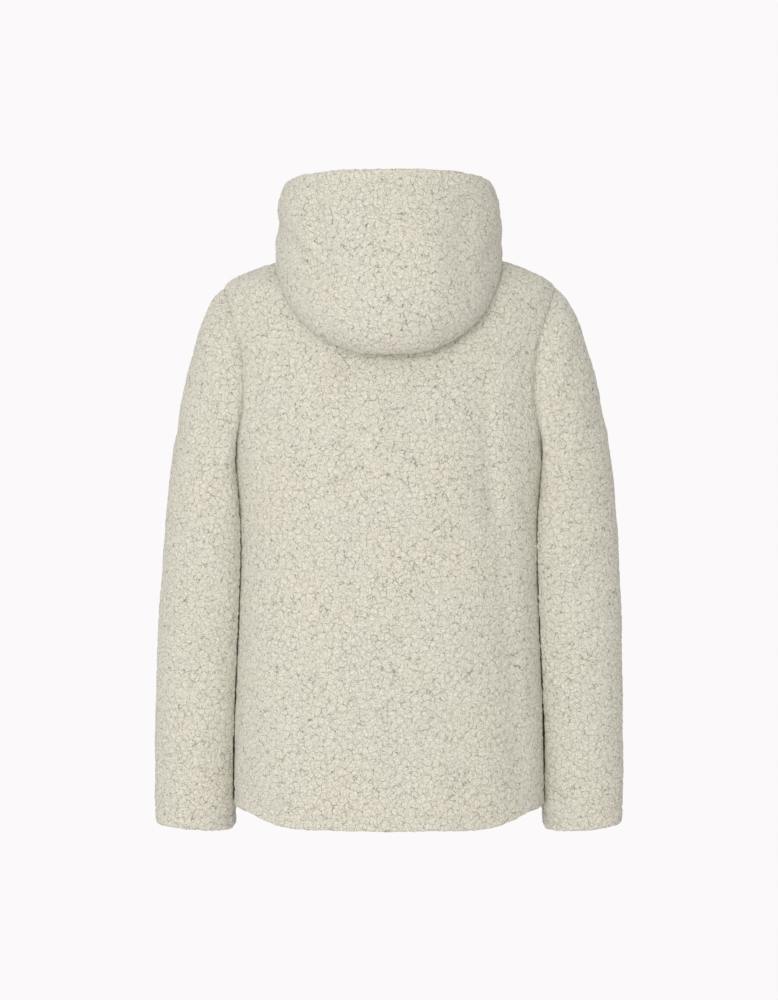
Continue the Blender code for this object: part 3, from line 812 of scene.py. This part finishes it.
def shared_normals(panels, seams):
    """Outward normals of all panels, one wherever panels meet at a seam.

    At the armholes and the neck the cloth turns back on itself, so there the normal also points
    away from the middle of the opening.
    """
    points = [grid.reshape(-1, 3) for grid, _ in panels.values()]
    normals = [given.reshape(-1, 3) for _, given in panels.values()]
    for ring in seams:
        points.append(ring)
        normals.append(unit(ring - ring.mean(axis=0)))
    keys = np.round(np.concatenate(points), 2)
    _, same = np.unique(keys, axis=0, return_inverse=True)
    same = same.reshape(-1)
    total = np.zeros((same.max() + 1, 3))
    np.add.at(total, same, np.concatenate(normals))
    shared = {}
    start = 0
    for name, (grid, _) in panels.items():
        count = grid.shape[0] * grid.shape[1]
        shared[name] = unit(total[same[start : start + count]].reshape(grid.shape))
        start += count
    return shared


def from_sewn_row(points, free_last):
    """How far each point is from its panel's sewn first row, or last one, along its column."""
    run = run_along(points, 0)
    return run if free_last else run[-1:] - run


def from_sides(points):
    """How far each point is from the nearer side of its panel, along its row."""
    run = run_along(points, 1)
    return np.minimum(run, run[:, -1:] - run)


def eased(points, normals, free_last, ring):
    """Normals that turn little by little towards the shared ones at the panel's seams."""
    edges = [(normals[:1] if free_last else normals[-1:], from_sewn_row(points, free_last))]
    if not ring:
        across = run_along(points, 1)
        edges += [(normals[:, :1], across), (normals[:, -1:], across[:, -1:] - across)]
    calm = normals
    for edge, distance in edges:
        near = np.exp(-((distance / SEAM_TURN) ** 2))[..., None]
        calm = unit(calm * (1 - near) + edge * near)
    return calm


def edge_distance(points, free_last):
    """How far each point is from its panel's free edge, where the solid ends."""
    return from_sewn_row(points, not free_last) + EDGE_STEPS[0]


def seam_distance(points, free_last, ring):
    """How far each point is from the nearest seam round its panel."""
    if ring:
        across = run_along(points, 1)
        middle = points.shape[1] // 2
        from_side = np.abs(across - across[:, middle : middle + 1])
    else:
        from_side = from_sides(points)
    return np.minimum(from_sewn_row(points, free_last), from_side)


def armhole_valley(points, ring):
    """How deep the soft valley along an armhole lies at each point of a body panel or a sleeve."""
    deep = np.clip((ARMHOLE_ENDS - points[..., 2]) / (ARMHOLE_ENDS - ARMHOLE_FULL), 0, 1)
    if ring:
        from_seam = run_along(points, 0)
    else:
        below = np.clip(UNDERARM - points[..., 2], 0, None)
        from_seam = np.hypot(from_sides(points), below)
    return ARMHOLE_DIP * deep * np.exp(-((from_seam / ARMHOLE_SPREAD) ** 2))


def shell_sides(points, normals, leaning, free_last, ring):
    """The cloth's outer and inner side, which meet in a round free edge, and its pile.

    The pile is the way that it stands and how thick it is, from 0 to 1.
    """
    from_edge = edge_distance(points, free_last)
    from_seam = seam_distance(points, free_last, ring)
    turned = np.clip((HEM_DEPTH - from_edge) / TURN_STEP + 0.5, 0, 1)
    thickness = WALL + TURNED_EDGE * turned - PILE_ROOT
    if not ring:
        from_neck = from_sewn_row(points, free_last)
        thickness -= SEAM_PRESS * np.clip(1 - from_neck / SEAM_PRESS_REACH, 0, 1)
    middle = PILE_ROOT + thickness / 2
    into = 1 - np.clip((from_edge - EDGE_STEPS[0]) / (EDGE_STEPS[-1] - EDGE_STEPS[0]), 0, 1)
    level = np.sqrt(1 - into**2)
    seam = np.exp(-((from_seam / SEAM_SPREAD) ** 2))
    stitched = np.exp(-(((from_edge - HEM_DEPTH) / STITCH_SPREAD) ** 2))
    dip = SEAM_DIP * seam + STITCH_DIP * stitched
    outer = points - normals * (middle - thickness / 2 * level + dip)[..., None]
    inner = points - normals * (middle + thickness / 2 * level)[..., None]
    beyond = points[-1] - points[-2] if free_last else points[0] - points[1]
    stands = leaning * level[..., None] + unit(beyond)[None] * into[..., None]
    pile = 1 - SEAM_FLAT * seam - STITCH_FLAT * stitched
    return inset(outer, ring), inset(inner, ring), stands, pile


def coarse_steps(count, free_first=0, free_last=0):
    """Every few places of a row of places, with its ends and the close rows of a free edge."""
    steps = set(range(0, count, INNER_STEP)) | {count - 1}
    close = len(EDGE_STEPS)
    if free_first:
        steps = {i for i in steps if i >= close + 1} | set(range(close))
    if free_last:
        steps = {i for i in steps if i < count - close - 1} | set(range(count - close, count))
    return sorted(steps)


def no_repeats(loop):
    """A face's corners without those that come twice."""
    return list(dict.fromkeys(loop))


def shell_faces(rows, columns, free_last, ring):
    """Faces of a closed shell whose outer side is fine and whose inner side is coarse.

    Also which grid places the inner side takes, and how many faces belong to the outer side.
    """
    spans = columns if ring else columns - 1
    i, j = np.meshgrid(np.arange(rows - 1), np.arange(spans), indexing="ij")
    k = (j + 1) % columns
    up = i + 1
    corners = [i * columns + j, i * columns + k, up * columns + k, up * columns + j]
    quads = np.stack(corners, axis=-1)
    faces = quads.reshape(-1, 4).tolist()
    outer_count = len(faces)
    at_rows = coarse_steps(rows, free_first=not free_last, free_last=free_last)
    at_columns = coarse_steps(columns)
    if ring:
        at_columns = list(range(0, columns, INNER_STEP))
    free_row = rows - 1 if free_last else 0
    inner = {}
    places = []
    for r in at_rows:
        for c in at_columns:
            if r == free_row:
                inner[r, c] = r * columns + c
            else:
                inner[r, c] = rows * columns + len(places)
                places.append((r, c))

    def outer_run(r, first, last):
        span = (last - first) % columns if ring else last - first
        return [r * columns + (first + s) % columns for s in range(span + 1)]

    pairs = list(zip(at_columns, at_columns[1:]))
    if ring:
        pairs.append((at_columns[-1], at_columns[0]))
    for a, b in zip(at_rows, at_rows[1:]):
        for c, d in pairs:
            low = [inner[a, d], inner[a, c]]
            high = [inner[b, c], inner[b, d]]
            if a == free_row:
                low = outer_run(a, c, d)[::-1]
            if b == free_row:
                high = outer_run(b, c, d)
            faces.append(low + high)
    for c, d in pairs:
        if free_last:
            faces.append(outer_run(0, c, d)[::-1] + [inner[0, c], inner[0, d]])
        else:
            faces.append(outer_run(rows - 1, c, d) + [inner[rows - 1, d], inner[rows - 1, c]])
    if not ring:
        last = columns - 1
        for a, b in zip(at_rows, at_rows[1:]):
            near = [r * columns for r in range(a, b + 1)]
            far = [r * columns + last for r in range(b, a - 1, -1)]
            faces.append(no_repeats(near + [inner[b, 0], inner[a, 0]]))
            faces.append(no_repeats(far + [inner[a, last], inner[b, last]]))
    return faces, places, outer_count


def added(name, points, faces):
    """A new mesh object in the scene."""
    data = bpy.data.meshes.new(name)
    data.from_pydata(points, [], faces)
    piece = bpy.data.objects.new(name, data)
    bpy.context.scene.collection.objects.link(piece)
    return piece


def keep(piece, name, values):
    """Numbers or vectors kept on a piece's points."""
    vector = values.ndim == 2
    layer = piece.data.attributes.new(name, "FLOAT_VECTOR" if vector else "FLOAT", "POINT")
    layer.data.foreach_set("vector" if vector else "value", values.ravel())


def cloth(name, points, normals, leaning, free_last, ring):
    """One panel as a closed shell of cloth, with its rest place and its pile kept on its points."""
    outer, inner, stands, pile = shell_sides(points, normals, leaning, free_last, ring)
    faces, places, outer_count = shell_faces(*outer.shape[:2], free_last, ring)
    r, c = np.array(places).T
    co = np.concatenate([outer.reshape(-1, 3), inner[r, c]]) * MM
    piece = added(name, co, faces)
    keep(piece, "rest", co)
    keep(piece, "stands", np.concatenate([stands.reshape(-1, 3), -normals[r, c]]))
    keep(piece, "pile", np.concatenate([pile.reshape(-1), 0 * r]))
    inside = np.arange(len(faces)) >= outer_count
    piece.data.polygons.foreach_set("material_index", inside.astype(np.int32))
    piece.data.shade_smooth()
    piece.data.update()
    return piece


def link(tree, source, target):
    """Joins a socket, or sets a plain value, on another socket."""
    if isinstance(source, bpy.types.NodeSocket):
        tree.links.new(source, target)
    else:
        target.default_value = source


def made(tree, kind, inputs, **settings):
    """A node with its settings and its inputs, each a plain value or another node's socket."""
    node = tree.nodes.new(kind)
    for key, value in settings.items():
        setattr(node, key, value)
    for key, value in inputs.items():
        link(tree, value, node.inputs[key])
    return node


def kept(tree, name):
    """Vectors kept on a piece's points, read in a material."""
    return made(tree, "ShaderNodeAttribute", {}, attribute_name=name).outputs["Vector"]


def maths(tree, operation, *values):
    """A number worked out from others."""
    return made(tree, "ShaderNodeMath", dict(enumerate(values)), operation=operation).outputs[0]


def ramp(tree, value, low, high, to_low=0.0, to_high=1.0):
    """A number taken smoothly from one range to another."""
    keys = ("Value", "From Min", "From Max", "To Min", "To Max")
    inputs = dict(zip(keys, (value, low, high, to_low, to_high)))
    node = made(tree, "ShaderNodeMapRange", inputs, interpolation_type="SMOOTHSTEP")
    return node.outputs["Result"]


def noise(tree, place, scale, detail=2.0, rough=0.5):
    """Soft noise at a place: its number and its three numbers."""
    inputs = {"Vector": place, "Scale": scale, "Detail": detail, "Roughness": rough}
    node = made(tree, "ShaderNodeTexNoise", inputs)
    return node.outputs[0], node.outputs[1]


def cells(tree, place, scale, feature, **inputs):
    """Cells at a place: the distance and the colour of the nearest."""
    inputs = {"Vector": place, "Scale": scale, **inputs}
    node = made(tree, "ShaderNodeTexVoronoi", inputs, feature=feature)
    return node.outputs["Distance"], node.outputs.get("Color")


def shifted(tree, place, by, amount):
    """A place moved by centred noise."""
    centred = made(tree, "ShaderNodeVectorMath", {0: by, 1: (0.5,) * 3}, operation="SUBTRACT")
    inputs = {0: centred.outputs[0], 1: (amount,) * 3, 2: place}
    return made(tree, "ShaderNodeVectorMath", inputs, operation="MULTIPLY_ADD").outputs[0]


def curls(tree, rest):
    """The pile at a rest place: cracks between clumps and between locks, and its curls.

    Also each clump's own colour, which is only read for its first number.
    """
    loose = shifted(tree, rest, noise(tree, rest, BENDS, detail=1)[1], BEND)
    crack, _ = cells(tree, loose, CLUMPS, "DISTANCE_TO_EDGE")
    lock, _ = cells(tree, loose, LOCKS, "DISTANCE_TO_EDGE")
    curl, _ = cells(tree, loose, CURLS, "SMOOTH_F1", Smoothness=CURL_BLEND)
    _, own = cells(tree, loose, CLUMPS, "F1")
    return crack, lock, curl, own


def raise_pile(piece):
    """Raises the clumps, locks and lumps of a shell's pile in its mesh."""
    tree = bpy.data.node_groups.new(piece.name + "_pile", "GeometryNodeTree")
    for way in ("INPUT", "OUTPUT"):
        tree.interface.new_socket("Geometry", in_out=way, socket_type="NodeSocketGeometry")

    def on_points(name, kind):
        inputs = {"Name": name}
        node = made(tree, "GeometryNodeInputNamedAttribute", inputs, data_type=kind)
        return node.outputs["Attribute"]

    rest = on_points("rest", "FLOAT_VECTOR")
    crack, lock, _, _ = curls(tree, rest)
    lumps, _ = noise(tree, rest, LUMPS, detail=1)
    soft, _ = noise(tree, rest, SOFT_LUMPS, detail=2)
    clump = ramp(tree, crack, 0.0, CLUMP_GROOVE, 0.0, CLUMP_HEIGHT)
    tip = ramp(tree, lock, 0.0, LOCK_GROOVE, 0.0, LOCK_HEIGHT)
    lump = ramp(tree, lumps, *LUMP_RANGE, 0.0, LUMP_HEIGHT)
    swell = ramp(tree, soft, *LUMP_RANGE, -SOFT_HEIGHT, SOFT_HEIGHT)
    height = maths(tree, "ADD", maths(tree, "ADD", clump, tip), maths(tree, "ADD", lump, swell))
    height = maths(tree, "MULTIPLY", height, on_points("pile", "FLOAT"))
    inputs = {0: on_points("stands", "FLOAT_VECTOR"), "Scale": height}
    out = made(tree, "ShaderNodeVectorMath", inputs, operation="SCALE").outputs[0]
    start = made(tree, "NodeGroupInput", {}).outputs[0]
    move = made(tree, "GeometryNodeSetPosition", {"Geometry": start, "Offset": out})
    made(tree, "NodeGroupOutput", {0: move.outputs[0]})
    piece.modifiers.new("pile", "NODES").node_group = tree
    bpy.context.view_layer.update()
    graph = bpy.context.evaluated_depsgraph_get()
    raised = bpy.data.meshes.new_from_object(piece.evaluated_get(graph))
    piece.modifiers.clear()
    flat = piece.data
    piece.data = raised
    bpy.data.meshes.remove(flat)
    raised.name = piece.name
    raised.set_sharp_from_angle(angle=np.radians(SHARP_ANGLE))
    bpy.data.node_groups.remove(tree)


def mixed(tree, share, a, b, kind="RGBA"):
    """Two colours, or two vectors, mixed by a share."""
    node = made(tree, "ShaderNodeMix", {"Factor": share}, data_type=kind)
    for value, key in ((a, "A"), (b, "B")):
        socket = [s for s in node.inputs if s.name == key and s.type == kind][0]
        link(tree, value if isinstance(value, bpy.types.NodeSocket) else (*value, 1), socket)
    return [s for s in node.outputs if s.type == kind][0]


def new_material(name, surface):
    """A material of one shader, its tree, its shader and its rest place."""
    material = bpy.data.materials.new(name)
    material.use_nodes = True
    tree = material.node_tree
    shader = tree.nodes["Principled BSDF"]
    for key, value in surface.items():
        shader.inputs[key].default_value = value
    return material, tree, shader, kept(tree, "rest")


def calm_normal(tree):
    """The surface's own direction brought nearer to the one that the pile stands in."""
    own = made(tree, "ShaderNodeNewGeometry", {}).outputs["Normal"]
    return mixed(tree, CALM_SHARE, own, kept(tree, "stands"), "VECTOR")


def bumped(tree, shader, height, strength, distance, **normal):
    """Bumps on a shader's surface."""
    inputs = {"Strength": strength, "Distance": distance, "Height": height, **normal}
    bump = made(tree, "ShaderNodeBump", inputs)
    tree.links.new(bump.outputs[0], shader.inputs["Normal"])


def pile_material(name):
    """Curled wool pile: cream curls and locks, with painted shade in thin broken cracks between clumps.
    """
    material, tree, shader, rest = new_material(name, PILE_SURFACE)
    crack, lock, curl, own = curls(tree, rest)
    fibre, _ = noise(tree, rest, FIBRES, detail=3, rough=0.6)
    # Slow drifts of the wool's own colour, and each clump a little lighter or darker
    drift = ramp(tree, noise(tree, rest, DRIFTS, detail=3)[0], *DRIFT_RANGE)
    cool, warm = ([v * t for v, t in zip(CREAM, tint)] for tint in (COOL, WARM))
    colour = mixed(tree, drift, cool, warm)
    each = made(tree, "ShaderNodeSeparateColor", {0: own}).outputs[0]
    colour = mixed(tree, maths(tree, "MULTIPLY", each, CLUMP_TINT), colour, PALE_TONE_AND_HIGHLIGHT)
    # Painted highlight on the tops of fibres, and painted shade where the pile is deeper
    # between them and between curls
    colour = mixed(tree, ramp(tree, fibre, *TOP_RANGE, 0.0, TOP_HIGHLIGHT), colour, PALE_TONE_AND_HIGHLIGHT)
    colour = mixed(tree, ramp(tree, fibre, *HOLLOW_RANGE, HOLLOW_SHADE, 0.0), colour, SHADE_COLOUR)
    colour = mixed(tree, ramp(tree, curl, *CURL_RANGE, 0.0, HOLLOW_SHADE), colour, SHADE_COLOUR)
    # Painted shade in the cracks, which break off and start again, those between locks more often
    for edge, (width, shade, scale) in ((lock, LOCK_SHADE_LINE), (crack, CRACK_SHADE_LINE)):
        breaks = ramp(tree, noise(tree, rest, scale)[0], *BREAK_RANGE, BREAK_LEFT, 1.0)
        line = ramp(tree, edge, 0.0, width, shade, 0.0)
        colour = mixed(tree, maths(tree, "MULTIPLY", line, breaks), colour, CRACK_SHADE_COLOUR)
    tree.links.new(colour, shader.inputs["Base Color"])
    height = maths(tree, "MULTIPLY", curl, CURL_RELIEF)
    height = maths(tree, "MULTIPLY_ADD", fibre, FIBRE_RELIEF, height)
    for edge, width in ((lock, LOCK_DENT), (crack, CRACK_DENT)):
        height = maths(tree, "ADD", height, ramp(tree, edge, 0.0, width, 0.0, DENT))
    bumped(tree, shader, height, *PILE_BUMP, Normal=calm_normal(tree))
    return material


def knit_material(name):
    """The knitted ground on the inner side: fine ribs of small stitches, with painted shade in their
    hollows.
    """
    material, tree, shader, rest = new_material(name, KNIT_SURFACE)
    inputs = {"Vector": rest, **KNIT_RIBS}
    ribs = made(tree, "ShaderNodeTexWave", inputs, bands_direction="Z").outputs["Fac"]
    stitch, _ = cells(tree, rest, KNIT_STITCHES, "F1")
    height = maths(tree, "MULTIPLY_ADD", stitch, KNIT_RELIEF, ribs)
    # Painted shade in the knit's hollows, where its height is low
    shade = ramp(tree, height, 0.0, KNIT_HOLLOW, KNIT_SHADE, 0.0)
    tree.links.new(mixed(tree, shade, CREAM, SHADE_COLOUR), shader.inputs["Base Color"])
    bumped(tree, shader, height, *KNIT_BUMP)
    return material


def thread_material(name):
    """Sewing thread: a twisted, slightly darker yarn."""
    material, tree, shader, rest = new_material(name, THREAD_SURFACE)
    twist, _ = noise(tree, rest, THREAD_TWIST)
    # The thread darkens towards the cracks' painted-shade colour where its twist noise is high
    tree.links.new(mixed(tree, twist, THREAD, CRACK_SHADE_COLOUR), shader.inputs["Base Color"])
    bumped(tree, shader, twist, *THREAD_BUMP)
    return material


def stitches(name, line, normals, material, closed):
    """A row of single stitches of thread along a line, each a short bent capsule."""
    if closed:
        line = np.concatenate([line, line[:1]])
        normals = np.concatenate([normals, normals[:1]])
    run = run_along(line, 0)
    count = int(run[-1] / STITCH_PITCH)
    start = (np.arange(count) + 0.5) * run[-1] / count - STITCH_LENGTH / 2
    along = np.linspace(0, 1, STITCH_RINGS)
    at = start[:, None] + along * STITCH_LENGTH

    def read(values):
        return np.stack([np.interp(at, run, values[:, k]) for k in range(3)], axis=-1)

    middle = read(line)
    out = read(normals)
    side = np.cross(unit(np.gradient(middle, axis=1)), out)
    rise = np.sin(np.pi * along)
    middle = middle + out * (rise * STITCH_RISE)[None, :, None]
    radius = STITCH_RADIUS * np.sqrt(np.maximum(STITCH_END, rise))
    turn = 2 * np.pi * np.arange(STITCH_SIDES) / STITCH_SIDES
    round_it = side[:, :, None] * np.cos(turn)[:, None] + out[:, :, None] * np.sin(turn)[:, None]
    points = middle[:, :, None] + round_it * radius[None, :, None, None]
    co = points.reshape(-1, 3) * MM
    here = np.arange(len(co)).reshape(count, STITCH_RINGS, STITCH_SIDES)
    after = np.roll(here, -1, axis=2)
    sides = np.stack([here[:, :-1], here[:, 1:], after[:, 1:], after[:, :-1]], axis=-1)
    ends = here[:, 0].tolist() + here[:, -1, ::-1].tolist()
    piece = added(name, co, sides.reshape(-1, 4).tolist() + ends)
    keep(piece, "rest", co)
    piece.data.shade_smooth()
    piece.data.materials.append(material)
    return piece


def stitch_line(points, normals, free_last):
    """The line on the cloth where its turned edge is sewn down."""
    from_edge = edge_distance(points, free_last).mean(axis=1)
    row = int(np.argmin(np.abs(from_edge - HEM_DEPTH)))
    return points[row] - normals[row] * (PILE_ROOT + STITCH_DIP + STITCH_SUNK), normals[row]


def plain(name, colour, glow=(0, 0, 0)):
    """A plain matt material of the studio, which may glow."""
    material = bpy.data.materials.new(name)
    material.use_nodes = True
    shader = material.node_tree.nodes["Principled BSDF"]
    shader.inputs["Base Color"].default_value = (*colour, 1)
    shader.inputs["Roughness"].default_value = 1.0
    shader.inputs["Specular IOR Level"].default_value = 0.0
    shader.inputs["Emission Color"].default_value = (*glow, 1)
    shader.inputs["Emission Strength"].default_value = 1.0
    return material


def sheet_of_studio(name, corners, material):
    """One flat sheet of the studio."""
    piece = added(name, corners, [(0, 1, 2, 3)])
    piece.data.materials.append(material)


def aimed(name, data, place, aim):
    """A lamp or a camera at a place, pointed at another."""
    holder = bpy.data.objects.new(name, data)
    holder.location = place
    holder.rotation_mode = "QUATERNION"
    holder.rotation_quaternion = (Vector(aim) - Vector(place)).to_track_quat("-Z", "Y")
    bpy.context.scene.collection.objects.link(holder)
    return holder


def studio():
    """A pale backdrop far behind, a pale floor far below, and soft light, most of it from the left."""
    far, low, y = STUDIO_REACH, FLOOR_Z, BACKDROP_Y
    wall = [(-far, y, low), (far, y, low), (far, y, far), (-far, y, far)]
    ground = [(-far, -far, low), (far, -far, low), (far, y, low), (-far, y, low)]
    sheet_of_studio("backdrop", wall, plain("backdrop", (0, 0, 0), BACKDROP))
    sheet_of_studio("floor", ground, plain("floor", BACKDROP))
    world = bpy.data.worlds.new("studio")
    bpy.context.scene.world = world
    world.use_nodes = True
    sky = world.node_tree.nodes["Background"]
    sky.inputs["Color"].default_value = (*SKY, 1)
    sky.inputs["Strength"].default_value = SKY_STRENGTH
    for name, (place, aim, size, power, colour) in LAMPS.items():
        lamp = bpy.data.lights.new(name, "AREA")
        lamp.size = size
        lamp.energy = power
        lamp.color = colour
        aimed(name, lamp, place, aim)


def camera():
    """The camera behind the garment, a little above its middle."""
    lens = bpy.data.cameras.new("camera")
    lens.lens = LENS_MM
    lens.sensor_width = SENSOR_MM
    lift = np.radians(CAMERA_LIFT)
    aim = Vector((0, 0, CAMERA_AIM_Z))
    place = aim + Vector((0, -np.cos(lift), np.sin(lift))) * CAMERA_DISTANCE
    bpy.context.scene.camera = aimed("camera", lens, place, aim)
    bpy.context.scene.view_settings.view_transform = "Standard"


def all_panels():
    """The outer grids and directions of all panels, and the seams round openings."""
    back = body_panel(-1)
    front = body_panel(1)
    neck = neck_ring(back, front)
    armhole_right = armhole_line(back, front)
    armhole_left = armhole_line(back[:, ::-1], front[:, ::-1])
    hood, out = fine_hood(neck)
    strip = STRIP_STEPS * HOOD_FINE // 2
    middle = hood.shape[1] // 2
    grids = {
        "back": (back[:, ::-1], False),
        "front": (front, False),
        "sleeve_right": (sleeve_tube(armhole_right, 1), True),
        "sleeve_left": (sleeve_tube(armhole_left, -1)[:, ::-1], True),
    }
    panels = {name: (grid, grid_normals(grid, ring)) for name, (grid, ring) in grids.items()}
    parts = {
        "hood_side_left": slice(0, middle - strip + 1),
        "hood_centre": slice(middle - strip, middle + strip + 1),
        "hood_side_right": slice(middle + strip, None),
    }
    for name, columns in parts.items():
        panels[name] = (hood[:, columns], out[:, columns])
    return panels, (neck, armhole_right, armhole_left)


def garment():
    """All the cloth of the garment and its stitching."""
    panels, seams = all_panels()
    shared = shared_normals(panels, seams)
    thread = thread_material("thread")
    inside = knit_material("wool_inside")
    for name, (points, _) in panels.items():
        ring = name.startswith("sleeve")
        if ring:
            # From its seam on, the sleeve stands a little aside of the body, as its solid does
            side = 1 if name == "sleeve_right" else -1
            facing = np.clip(-side * shared[name][..., 0], 0, 1)
            away = SLEEVE_ASIDE - SLEEVE_CLOSER * facing
            away = away * np.clip(run_along(points, 0) / ASIDE_REACH, 0, 1)
            points = points + away[..., None] * [side, 0, 0]
        free_last = name not in ("back", "front")
        normals = eased(points, shared[name], free_last, ring)
        before = grid_normals(points, ring)
        points = creased(name, points, normals)
        leaning = unit(normals + grid_normals(points, ring) - before)
        piece = cloth(name + "_cloth", points, normals, leaning, free_last, ring)
        piece.data.materials.append(pile_material(name + "_pile"))
        piece.data.materials.append(inside)
        raise_pile(piece)
        line, out = stitch_line(points, normals, free_last)
        sewn = stitches(name + "_stitches", line, out, thread, ring)
        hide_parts(name)
        for each in (piece, sewn):
            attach(each, "root")


def main():
    """The frame, the garment on it, the studio and the camera."""
    for item in list(bpy.data.objects):
        bpy.data.objects.remove(item)
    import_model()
    garment()
    studio()
    camera()


main()
